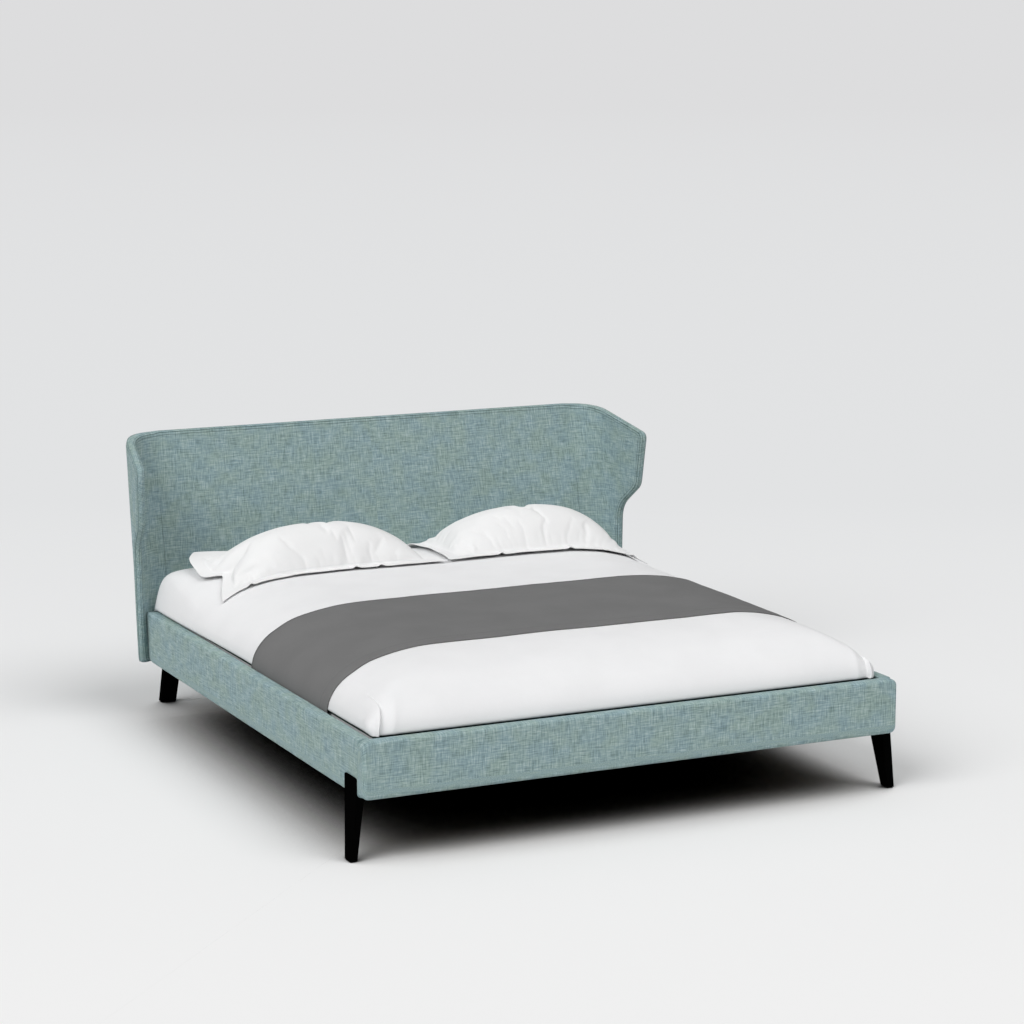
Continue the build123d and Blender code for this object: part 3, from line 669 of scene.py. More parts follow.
@dataclass
class Headboard:
    """The leaning headboard with its two wings, covered in one run of cloth.

    The inner face is a flat panel, a corner arc and a flared side at every height. Positions on it
    are (along, z), where along is measured round the plan from the start of the corner arc.

    Attributes:
        finishes: the materials.
        seam_inset: how far the seam lies inside the outline.
        columns: grid columns in half the width.
        rows: grid rows.
        outer_more: how much larger the corner's outer radius is.
        ear_top: where the ear's straight front edge starts.
        ear_low: where it ends.
        split: the height at which the outline's upper and lower lines are parted.
        rings: lines of the mesh that follow the seam, by their distance inside it.
        rim: the border's section, as distance out from the seam and share of the thickness.
        profile: the wing from the side, as (y, z, radius).
    """

    finishes: Finishes
    seam_inset: float = 0.0035
    columns: int = 72
    rows: int = 36
    outer_more: float = 0.028
    ear_top: float = 0.905
    ear_low: float = 0.800
    split: float = 0.880
    rings: tuple[float, ...] = (0.003, 0.007, 0.0105, 0.015, 0.022)
    rim: tuple[Pair, ...] = (
        (0.0006, 0.030),
        (0.0016, 0.070),
        (0.0026, 0.130),
        (0.0034, 0.230),
        (0.0036, 0.380),
        (0.0034, 0.540),
        (0.0026, 0.700),
        (0.0010, 0.840),
        (-0.0016, 0.940),
        (-0.0040, 0.985),
    )
    profile: tuple[Triple, ...] = (
        (2.300, 0.203, 0.0),
        (2.046, 0.203, 0.014),
        (2.046, 0.639, 0.090),
        (1.934, 0.7325, 0.050),
        (1.906, 0.9468, 0.028),
        (2.238, 1.030, 0.520),
        (2.500, 1.030, 0.0),
    )

    def panel_y(self, z: float, depth: float) -> float:
        """The middle panel's inner (depth 0) or outer (depth 1) face at height z."""
        return SIZES.board_y(z) + depth * SIZES.board_thickness / math.cos(SIZES.lean)

    def side_x(self, y: float, z: float, depth: float) -> float:
        """The right wing's inner (depth 0) or outer (depth 1) face at y and height z."""
        tall = (z - SIZES.rail_low) / (SIZES.board_height - SIZES.rail_low)
        thick = lerp(SIZES.wing_thin, SIZES.wing_thick, tall)
        inner = SIZES.wing_x - (y - SIZES.ear_y) * math.tan(SIZES.flare)
        return inner + depth * thick / math.cos(SIZES.flare)

    def arc(self, z: float, depth: float) -> tuple[float, Vector, float]:
        """Radius, centre and turn of the corner arc at height z."""
        full = clamp((z - SIZES.rail_low) / (SIZES.corner_full - SIZES.rail_low))
        radius = lerp(SIZES.corner_low, SIZES.corner_high, full) + depth * self.outer_more
        turn = math.pi / 2 - SIZES.flare
        back = self.panel_y(z, depth)
        x = self.side_x(back, z, depth) - radius * math.tan(turn / 2)
        return radius, Vector((x, back - radius)), turn

    def spot(self, along: float, z: float, depth: float) -> tuple[Vector, Vector]:
        """A point of the right half and the level direction from it into the padding."""
        radius, centre, turn = self.arc(z, depth)
        angle = clamp(along / radius, 0, turn)
        past = along - radius * angle
        x = centre.x + radius * math.sin(angle) + past * math.cos(angle)
        y = centre.y + radius * math.cos(angle) - past * math.sin(angle)
        inward = Vector((math.sin(angle), math.cos(angle), 0)) * (1 - 2 * depth)
        return SIZES.row(x, y, z), inward

    def along_at(self, y: float, z: float, depth: float) -> float:
        """The place along the plan, from the corner arc on, that lies at y."""
        radius, centre, turn = self.arc(z, depth)
        end = centre.y + radius * math.cos(turn)
        if y >= end:
            return radius * math.acos(clamp((y - centre.y) / radius, -1, 1))
        return radius * turn + (end - y) / math.cos(SIZES.flare)

    def loops(self, inset: float, depth: float) -> tuple[list[Pair], list[Pair], list[Pair]]:
        """Upper, end and lower lines of one face, drawn in from its outline.

        Args:
            inset: distance inside the outline.
            depth: 0 for the inner face and 1 for the outer.

        Returns:
            Points as (along, z): the top from the middle to the ear, the ear's front edge going
            down, and the bottom from the middle to the ear.
        """
        outline = even(rounded(self.profile, steps=14, closed=False), 900)
        nearest, floor = self.profile[1][0] + inset, SIZES.rail_low + inset
        inside = []
        for i, (y, z) in enumerate(outline):
            a, b = outline[max(i - 1, 0)], outline[min(i + 1, len(outline) - 1)]
            across = Vector((-(b[1] - a[1]), b[0] - a[0])).normalized()
            y, z = y - across.x * inset, z - across.y * inset
            if z < floor + 0.03:
                y, z = max(y, nearest), max(z, floor)
            inside.append((y, z))
        front = min(range(len(inside)), key=lambda k: abs(inside[k][1] - self.split))
        top_z, low_z = SIZES.board_height - inset, SIZES.rail_low + inset

        def line(points: Sequence[Pair], start_z: float) -> list[Pair]:
            before = [p for p in points if p[0] < self.panel_y(p[1], depth) - 1e-4]
            return [(0.0, start_z)] + [(self.along_at(y, z, depth), z) for y, z in before]

        top_line = line(inside[front:][::-1], top_z)
        top_part = [p for k, p in enumerate(top_line) if p[1] > self.ear_top or k < 2]
        low_part = [p for p in line(inside[: front + 1], low_z) if p[1] < self.ear_low]

        def rises(after: int, height: float) -> int:
            return next(k for k in range(after, len(low_part)) if low_part[k][1] > low_z + height)

        # The lower line is level, turns at the bend and goes up from the neck.
        bend = max(1, rises(1, 0.0004) - 1)
        neck = rises(bend + 1, 0.011)
        flat = self.columns // 3
        rest = self.columns - flat
        corner, around = rest // 8, rest // 10

        def middle(z: float) -> list[Pair]:
            start = -self.arc(z, depth)[1].x
            return [(lerp(start, 0.0, i / flat), z) for i in range(flat)]

        top = middle(top_z) + even(top_part, rest + 1)
        low = middle(low_z) + even(low_part[: bend + 1], corner + 1)[:-1]
        low += even(low_part[bend : neck + 1], around + 1)[:-1]
        low += even(low_part[neck:], rest - corner - around + 1)
        end = even([top_part[-1], low_part[-1]], self.rows + 1)[1:-1]
        return top, end, low

    def outline(self, inset: float, depth: float) -> list[Pair]:
        """The three lines in one run from the top's middle round to the bottom's middle."""
        top, end, low = self.loops(inset, depth)
        return top + end + low[::-1]

    def face(self, surface: Surface, depth: float) -> list[int]:
        """Adds one face of the cover and returns the vertices of its seam line.

        Args:
            surface: the mesh under construction.
            depth: 0 for the inner face and 1 for the outer.
        """
        seam = self.outline(self.seam_inset, depth)
        dense = even(seam, len(seam) * 4)
        tree = kdtree.KDTree(len(dense))
        for k, p in enumerate(dense):
            tree.insert((p[0], p[1], 0), k)
        tree.balance()

        def place(along: float, z: float) -> int:
            gap = tree.find((along, z, 0))[2]
            here, inward = self.spot(along, z, depth)
            # The stitches of the seam and of the row beside it pull the cloth in.
            pull = 0.0016 * bell(gap, 0.0, 0.006) + 0.0007 * bell(gap, self.rings[2], 0.003)
            # The back's padding is thin, and thinner still toward its edge.
            pull += depth * (0.0040 * (1 - smooth_step(-0.004, 0.018, gap)) - 0.0030)
            soft = 0.0013 * wobble(here, 0.16, depth) * smooth_step(0, 0.05, gap)
            return surface.add(here + inward * (pull + soft), (along + 3 * depth, z), gap)

        def ring(inset: float) -> list[int]:
            return [place(*p) for p in self.outline(self.seam_inset + inset, depth)]

        top, _, low = self.loops(self.seam_inset + self.rings[-1], depth)
        edge = ring(self.rings[-1])
        count = len(top)
        shares = [j / self.rows for j in range(1, self.rows)]
        grid = []
        for i, ((x_top, z_top), (x_low, z_low)) in enumerate(zip(top, low)):
            if i == count - 1:
                rungs = edge[count : count + self.rows - 1]
            else:
                rungs = [place(lerp(x_top, x_low, t), lerp(z_top, z_low, t)) for t in shares]
            grid.append([edge[i], *rungs, edge[-1 - i]])
        surface.sheet(grid)
        lines = [edge, *(ring(inset) for inset in self.rings[-2::-1]), ring(0.0)]
        surface.sheet(lines)
        return lines[-1]

    def border(self, surface: Surface, inner: list[int], outer: list[int]) -> None:
        """Adds the rounded border between the seams of the two faces.

        Args:
            surface: the mesh under construction.
            inner: the vertices of the inner face's seam.
            outer: the vertices of the outer face's seam.
        """
        line = self.outline(self.seam_inset, 0)
        rows = [inner]
        outward = [self.outwards(depth) for depth in (0, 1)]
        for out, share in self.rim:
            row = []
            for k, (along, z) in enumerate(line):
                a, b = surface.points[inner[k]], surface.points[outer[k]]
                (way_a, flat), (way_b, _) = outward[0][k], outward[1][k]
                way = way_a.lerp(way_b, share).normalized()
                round_cloth = share * (b - a).length
                cloth = (along + flat[0] * round_cloth, z + flat[1] * round_cloth)
                row.append(surface.add(a.lerp(b, share) + way * out, cloth, 0.003 + round_cloth))
            rows.append(row)
        surface.sheet([*rows, outer])

    def outwards(self, depth: float) -> list[tuple[Vector, Pair]]:
        """Ways out of the panel's edge at each point of the seam, in space and on the cloth."""
        line = self.outline(self.seam_inset, depth)
        result = []
        for k, (along, z) in enumerate(line):
            before, after = line[max(k - 1, 0)], line[min(k + 1, len(line) - 1)]
            run = Vector((after[0] - before[0], after[1] - before[1])).normalized()
            flat = (-run.y, run.x)
            onward = self.spot(along + 0.002, z, depth)[0] - self.spot(along - 0.002, z, depth)[0]
            way = onward.normalized() * flat[0] + Vector((0, 0, 1)) * flat[1]
            result.append((way.normalized(), flat))
        return result

    def build(self) -> None:
        """Makes the covered headboard."""
        surface = Surface("headboard_cover")
        inner = self.face(surface, 0.0)
        outer = self.face(surface, 1.0)
        self.border(surface, inner, outer)
        obj = surface.build(mirror=True)
        subdivide(obj)
        nodes = ["headboard_padding", "headboard_back_panel"]
        nodes += ["left_wing_padding", "right_wing_padding"]
        settle(obj, Body.FRAME, nodes, self.finishes.upholstery)


@dataclass
class PaddedRails:
    """The foot rail and the two side rails: cloth over a thin foam, turned in under and inside.

    Attributes:
        finishes: the materials.
        end_radius: how the foot rail's ends are rounded at the top and underside.
        plan_radius: how its front corners are rounded, seen from above.
    """

    finishes: Finishes
    end_radius: float = 0.024
    plan_radius: float = 0.014

    def section(self) -> list[Pair]:
        """The padding's section as (inwards, z), open towards the timber."""
        s = SIZES
        core = s.rail_thickness - s.padding
        corners = (
            (0.0, s.rail_low, 0.014),
            (core, s.rail_low, 0.003),
            (core, s.rail_low + s.padding, 0.001),
            (s.padding, s.rail_low + s.padding, 0.001),
            (s.padding, s.rail_high - s.padding, 0.001),
            (core, s.rail_high - s.padding, 0.001),
            (core, s.rail_high - s.flap, 0.002),
            (s.rail_thickness, s.rail_high - s.flap, 0.003),
            (s.rail_thickness, s.rail_high, 0.005),
            (0.0, s.rail_high, 0.011),
        )
        outline = rounded(corners, steps=5)
        dense = []
        for i, here in enumerate(outline):
            after = outline[(i + 1) % len(outline)]
            pieces = max(1, round(math.dist(here, after) / 0.018))
            shares = [k / pieces for k in range(pieces)]
            dense += [(lerp(here[0], after[0], t), lerp(here[1], after[1], t)) for t in shares]
        return dense

    def sweep(self, surface: Surface, places: Iterable[float], point: Point) -> list[list[int]]:
        """Runs the section along a rail.

        Args:
            surface: the mesh under construction.
            places: where along the rail the section is repeated.
            point: gives the point at a place, a distance inwards and a height.

        Returns:
            The vertices of each section.
        """
        section = self.section()
        lengths = lengths_to(section)
        rows = [
            [surface.add(point(place, *p), (place, length)) for p, length in zip(section, lengths)]
            for place in places
        ]
        surface.sheet(rows, closed=True)
        return rows

    def finish(self, surface: Surface, node: str) -> None:
        """Makes the cover of one rail."""
        obj = surface.build()
        subdivide(obj)
        settle(obj, Body.FRAME, [node], self.finishes.upholstery)

    def foot(self) -> None:
        """Makes the foot rail, with rounded ends."""
        s = SIZES
        ends = [0.0, 0.0012, 0.0035, 0.0070, 0.0110, 0.0150, 0.0200, 0.0250, 0.0300]
        inner = [lerp(0.03, s.half_width, i / 46) for i in range(47)]
        places = sorted({-(s.half_width - e) for e in ends} | {e - s.half_width for e in inner})
        places += [-p for p in reversed(places) if p < -1e-6]
        middle_z = (s.rail_low + s.rail_high) / 2
        half_z = (s.rail_high - s.rail_low) / 2

        def point(x: float, inwards: float, z: float) -> Vector:
            end = s.half_width - abs(x)
            share = 1 - inwards / s.rail_thickness
            soft = 0.0009 * wobble(Vector((x, inwards, z)), 0.11, 3.0) * smooth_step(0, 0.04, end)
            y = inwards + (fillet(self.plan_radius, end) + soft) * share
            if end < s.padding - 1e-6 and self.recessed(inwards, z):
                y = s.rail_thickness - 0.0005
            tall = fillet(self.end_radius, end)
            return s.row(x, y, middle_z + (z - middle_z) * (1 - tall / half_z))

        surface = Surface("foot_rail_cover")
        rows = self.sweep(surface, places, point)
        for row in (rows[0], rows[-1]):
            self.cap(surface, row)
        self.finish(surface, "foot_rail_padding")

    def recessed(self, inwards: float, z: float) -> bool:
        """Whether a point of the section is on the hollow that holds the timber."""
        s = SIZES
        core = s.rail_thickness - s.padding
        below_flap = s.rail_low + 1e-4 < z < s.rail_high - s.flap + 1e-4
        within = s.padding - 1e-4 < inwards < core + 1e-4
        return (inwards > s.padding - 1e-4 and below_flap) or (
            within and s.rail_low + 0.001 < z < s.rail_high - 0.001
        )

    def cap(self, surface: Surface, row: Sequence[int]) -> None:
        """Closes one end with rings that close in on its middle."""
        points = [surface.points[k] for k in row]
        middle = sum(points, Vector()) / len(points)
        rings = [list(row)]
        for share in (0.16, 0.45, 0.75):
            spots = [point.lerp(middle, share) for point in points]
            lengths = [surface.cloth[k][1] for k in row]
            rings.append([surface.add(p, (p.y, length)) for p, length in zip(spots, lengths)])
        surface.sheet(rings, closed=True)
        surface.faces.append(tuple(rings[-1]))

    def side(self, side: Side) -> None:
        """Makes one side rail, run into the headboard."""
        s = SIZES
        start, whole = s.rail_thickness, 2.0
        places = [start + near for near in (0.0, 0.0015, 0.004, 0.010)]
        places += [start + lerp(0.03, whole, i / 50) for i in range(51)]

        def point(y: float, inwards: float, z: float) -> Vector:
            near = y - start
            onto = start + near * (s.board_y(z) + 0.006 - start) / whole
            soft = 0.0009 * wobble(Vector((inwards, y, z)), 0.12, 5.0 + side.value)
            pull = 0.0006 * bell(near, 0.0, 0.003) + soft * smooth_step(0, 0.05, near)
            x = s.half_width - inwards - pull * (1 - inwards / s.rail_thickness)
            return s.row(side.value * x, onto, z)

        surface = Surface(f"{side.label}_rail_cover")
        rows = self.sweep(surface, places, point)
        surface.faces += [tuple(rows[0]), tuple(rows[-1])]
        self.finish(surface, f"{side.label}_rail_padding")

    def build(self) -> None:
        """Makes all three rails."""
        self.foot()
        for side in Side:
            self.side(side)


# Bedding


@dataclass
class Bedding:
    """The made-up mattress: one soft white cover, tucked down inside the rails.

    Attributes:
        finishes: the materials.
        half_width: half the width, between the rails.
        over: how much wider each side gets toward the head, where it swells over the rail.
        foot: where its foot end is.
        head: where its head end is.
        low: its lower edge, hidden inside the rails.
        crown: its highest level.
        side_fall: its shoulder as (inset, drop), at the sides and the foot.
        head_fall: the boxier shoulder at the head.
        fullness: how full the corners are; larger is fuller.
        corner: the corners' radius seen from above.
        pleats: the left and right foot corners' pleats, as distances from the corner low down and
            high up.
        reach: how far in from the edges the shoulders go.
        folded: the strip beside each long edge that has a finer mesh, for the pleats.
    """

    finishes: Finishes
    half_width: float = 0.9095
    over: float = 0.022
    foot: float = 0.0465
    head: float = 2.080
    low: float = 0.3053
    crown: float = 0.5753
    side_fall: tuple[Pair, ...] = (
        (0.0, 0.183),
        (0.008, 0.152),
        (0.031, 0.114),
        (0.071, 0.078),
        (0.160, 0.034),
        (0.332, 0.004),
        (0.6, 0.0),
    )
    head_fall: tuple[Pair, ...] = (
        (0.0, 0.183),
        (0.010, 0.125),
        (0.020, 0.082),
        (0.034, 0.050),
        (0.060, 0.028),
        (0.120, 0.013),
        (0.332, 0.003),
        (0.6, 0.0),
    )
    fullness: float = 5.0
    corner: float = 0.035
    pleats: tuple[Pair, Pair] = ((0.020, 0.052), (0.030, 0.020))
    reach: float = 0.34
    folded: float = 0.105

    def half(self, y: float) -> float:
        """Half the width at y."""
        return self.half_width + self.over * smooth_step(1.15, 2.0, y)

    def drop(self, x: float, y: float) -> float:
        """How far the cover lies below its crown at a place."""
        boxy = smooth_step(1.513, 2.073, y)
        edge = self.half(y) - abs(x)
        side = lerp(curve_at(self.side_fall, edge), curve_at(self.head_fall, edge), boxy)
        end = curve_at(self.side_fall, y - self.foot) + curve_at(self.head_fall, self.head - y)
        p = self.fullness
        return (max(side, 0.0) ** p + max(end, 0.0) ** p) ** (1 / p)

    def top(self, x: float, y: float) -> float:
        """Height of the cover's upper face at a place."""
        y = clamp(y, self.foot, self.head)
        x = clamp(x, -self.half(y), self.half(y))
        here = Vector((x, y, 0))
        soft = 0.0022 * wobble(here, 0.23, 2.0) + 0.0009 * wobble(here, 0.07, 7.0)
        calm = smooth_step(0, 0.10, self.half(y) - abs(x)) * smooth_step(0, 0.10, y - self.foot)
        return self.crown - self.drop(x, y) + (soft - 0.002) * calm

    def spread(self, fall: Sequence[Pair], count: int) -> list[float]:
        """Insets spaced evenly along a shoulder's curve."""
        fine = [self.reach * k / 400 for k in range(401)]
        return [p[0] for p in even([(inset, curve_at(fall, inset)) for inset in fine], count)]

    def build(self) -> None:
        """Makes the cover."""
        half, reach = self.half_width, self.reach
        shoulder = self.spread(self.side_fall, 27)
        across = [self.folded * k / 38 for k in range(38)]
        across += [i for i in shoulder if i > self.folded]
        xs = [-half + i for i in across]
        xs += [lerp(-half + reach, half - reach, k / 50) for k in range(1, 50)]
        xs += [half - i for i in reversed(across)]
        ys = [self.foot + i for i in shoulder]
        ys += [lerp(self.foot + reach, self.head - reach, k / 60) for k in range(1, 60)]
        ys += [self.head - i for i in reversed(self.spread(self.head_fall, 23))]
        columns, rows = len(xs) - 1, len(ys) - 1
        bpy.ops.mesh.primitive_grid_add(x_subdivisions=columns, y_subdivisions=rows, size=2)
        obj = bpy.context.active_object
        obj.name = obj.data.name = "bedding_cover"
        for vertex in obj.data.vertices:
            i, j = round((vertex.co.x + 1) / 2 * columns), round((vertex.co.y + 1) / 2 * rows)
            vertex.co = self.shaped(xs[i], ys[j])
        self.skirt(obj)
        subdivide(obj)
        settle(obj, Body.MATTRESS, ["mattress_cover"], self.finishes.bedding)

    def fold(self, x: float, y: float, z: float) -> float:
        """How far the pleat at a foot corner pushes the cover out of the foot face."""
        low = smooth_step(0.522, 0.480, z)
        if low <= 0 or y > self.foot + 0.16:
            return 0.0
        line = lerp(*self.pleats[0 if x < 0 else 1], clamp((z - 0.389) / 0.10))
        past = self.half_width - abs(x) - line
        over = 0.0105
        if past < 0:
            return over * math.exp(past / 0.030) * low
        tuck = -0.0115 * math.exp(-past / 0.024)
        ridge = 0.0030 * bell(past, 0.046, 0.014)
        lift = lerp(over, 0.0, smooth_step(0, 0.0035, past))
        return (lift + (tuck + ridge) * smooth_step(0, 0.004, past)) * low

    def shaped(self, x: float, y: float) -> Vector:
        """The place of one point of the upper face, with corners rounded in plan and pleated."""
        x *= self.half(y) / self.half_width
        z = self.top(x, y)
        out = self.fold(x, y, z)
        near_x, near_y = self.half(y) - abs(x), y - self.foot
        flare = 0.010 * bell(near_y, 0.045, 0.03) * smooth_step(0.05, 0.0, near_x)
        if near_x < self.corner and near_y < self.corner:
            away = Vector((self.corner - near_x, self.corner - near_y))
            most = max(away.x, away.y)
            away *= most / away.length if away.length > 0 else 0
            x = math.copysign(self.half_width - self.corner + away.x, x)
            y = self.foot + self.corner - away.y
        flare *= smooth_step(0.47, 0.42, z) * smooth_step(0.385, 0.41, z)
        x += math.copysign(flare, x)
        return SIZES.row(x, y - out, z + 0.3 * out)

    def skirt(self, obj: Object) -> None:
        """Extrudes the edge down inside the rails and closes the bottom."""
        only(obj)
        bpy.ops.object.mode_set(mode="EDIT")
        bpy.ops.mesh.select_mode(type="EDGE")
        bpy.ops.mesh.select_all(action="DESELECT")
        bpy.ops.mesh.select_non_manifold(extend=False)
        middle = SIZES.row(0, (self.foot + self.head) / 2, 0)
        widest = self.half_width - 0.002
        for level, inset in ((0.3890, 0.0060), (0.3840, 0.0070), (0.350, 0.002), (self.low, 0.0)):
            bpy.ops.mesh.extrude_region_move()
            bm = bmesh.from_edit_mesh(obj.data)
            for vertex in bm.verts:
                if vertex.select:
                    x, y, z = vertex.co
                    x = clamp(x, -widest, widest) * (1 - inset / self.half_width)
                    y = middle.y + (y - middle.y) * (1 - inset / (self.head - self.foot) * 2)
                    vertex.co = (x, y, min(level, z - 0.001))
            bmesh.update_edit_mesh(obj.data)
        bpy.ops.mesh.fill()
        bpy.ops.mesh.select_all(action="SELECT")
        bpy.ops.mesh.normals_make_consistent(inside=False)
        bpy.ops.object.mode_set(mode="OBJECT")


@dataclass
class Mattress:
    """The mattress under the cover: a rounded block.

    Attributes:
        finishes: the materials.
        half_width: half its width.
        foot: where its foot end is.
        head: where its head end is.
        low: its underside's height.
        high: its top's height.
        radius: how its edges are rounded.
    """

    finishes: Finishes
    half_width: float = 0.874
    foot: float = 0.076
    head: float = 2.050
    low: float = 0.2893
    high: float = 0.4500
    radius: float = 0.044

    def build(self) -> None:
        """Makes the mattress."""
        centre = SIZES.row(0, (self.foot + self.head) / 2, (self.low + self.high) / 2)
        bpy.ops.object.select_all(action="DESELECT")
        bpy.ops.mesh.primitive_cube_add(size=1, location=centre)
        obj = bpy.context.active_object
        obj.name = obj.data.name = "mattress_body"
        obj.scale = (2 * self.half_width, self.head - self.foot, self.high - self.low)
        bpy.ops.object.transform_apply(location=True, rotation=False, scale=True)
        bpy.ops.object.mode_set(mode="EDIT")
        bpy.ops.mesh.select_all(action="SELECT")
        bpy.ops.mesh.bevel(offset=self.radius, segments=6, affect="EDGES")
        bpy.ops.mesh.normals_make_consistent(inside=False)
        bpy.ops.object.mode_set(mode="OBJECT")
        bpy.ops.object.shade_smooth()
        settle(obj, Body.MATTRESS, ["mattress"], self.finishes.ticking)


@dataclass
class Runner:
    """The grey runner laid across the bed, its ends tucked in behind the rails.

    Attributes:
        finishes: the materials.
        bedding: what it lies on.
        front: its edge nearest the foot.
        back: its edge nearest the head.
        low: how far down its ends go.
        thick: its thickness.
        crease: how far its pressed crease lies from the front edge; the dark line along it is
            painted shade.
    """

    finishes: Finishes
    bedding: Bedding
    front: float = 0.410
    back: float = 1.090
    low: float = 0.330
    thick: float = 0.0026
    crease: float = 0.060

    def across(self, y: float) -> list[Pair]:
        """The section at y as (x, z), from the left tuck to the right."""
        b = self.bedding
        right = [(x, b.top(x, y)) for x in (b.half_width - i for i in b.spread(b.side_fall, 34))]
        right = [(b.half_width, lerp(self.low, right[0][1], k / 6)) for k in range(6)] + right
        left = [(-x, b.top(-x, y) if z > 0.4 else z) for x, z in right]
        middle = [lerp(-0.54, 0.54, k / 40) for k in range(41)]
        return left + [(x, b.top(x, y)) for x in middle] + right[::-1]

    def build(self) -> None:
        """Makes the runner."""
        surface = Surface("bed_runner_cloth")
        places = [self.front + k * 0.02 for k in range(int((self.back - self.front) / 0.02) + 1)]
        places += [self.front + self.crease + 0.003 * k for k in range(-3, 4)]
        upper, under = [], []
        for y in sorted({round(v, 4) for v in places + [self.back]}):
            section = self.across(y)
            lengths = lengths_to(section)
            fore = y - self.front
            # The seam value is 0 at the stitched hems and along the crease; the dark line that the
            # material draws along the crease is painted shade of the crease's step.
            edge = min(fore, self.back - y, abs(fore - self.crease))
            gap = 0.0008 + 0.0012 * smooth_step(0.0, 0.006, fore - self.crease)
            upper.append([])
            under.append([])
            for i, (x, z) in enumerate(section):
                before, after = section[max(i - 1, 0)], section[min(i + 1, len(section) - 1)]
                along = Vector((after[0] - before[0], after[1] - before[1])).normalized()
                for row, out in ((under[-1], gap), (upper[-1], gap + self.thick)):
                    spot = SIZES.row(x - along.y * out, y, z + along.x * out)
                    row.append(surface.add(spot, (lengths[i], y), edge))
        surface.shell(upper, under)
        obj = surface.build()
        only(obj)
        bpy.ops.object.shade_smooth()
        settle(obj, Body.MATTRESS, ["bed_runner"], self.finishes.runner)


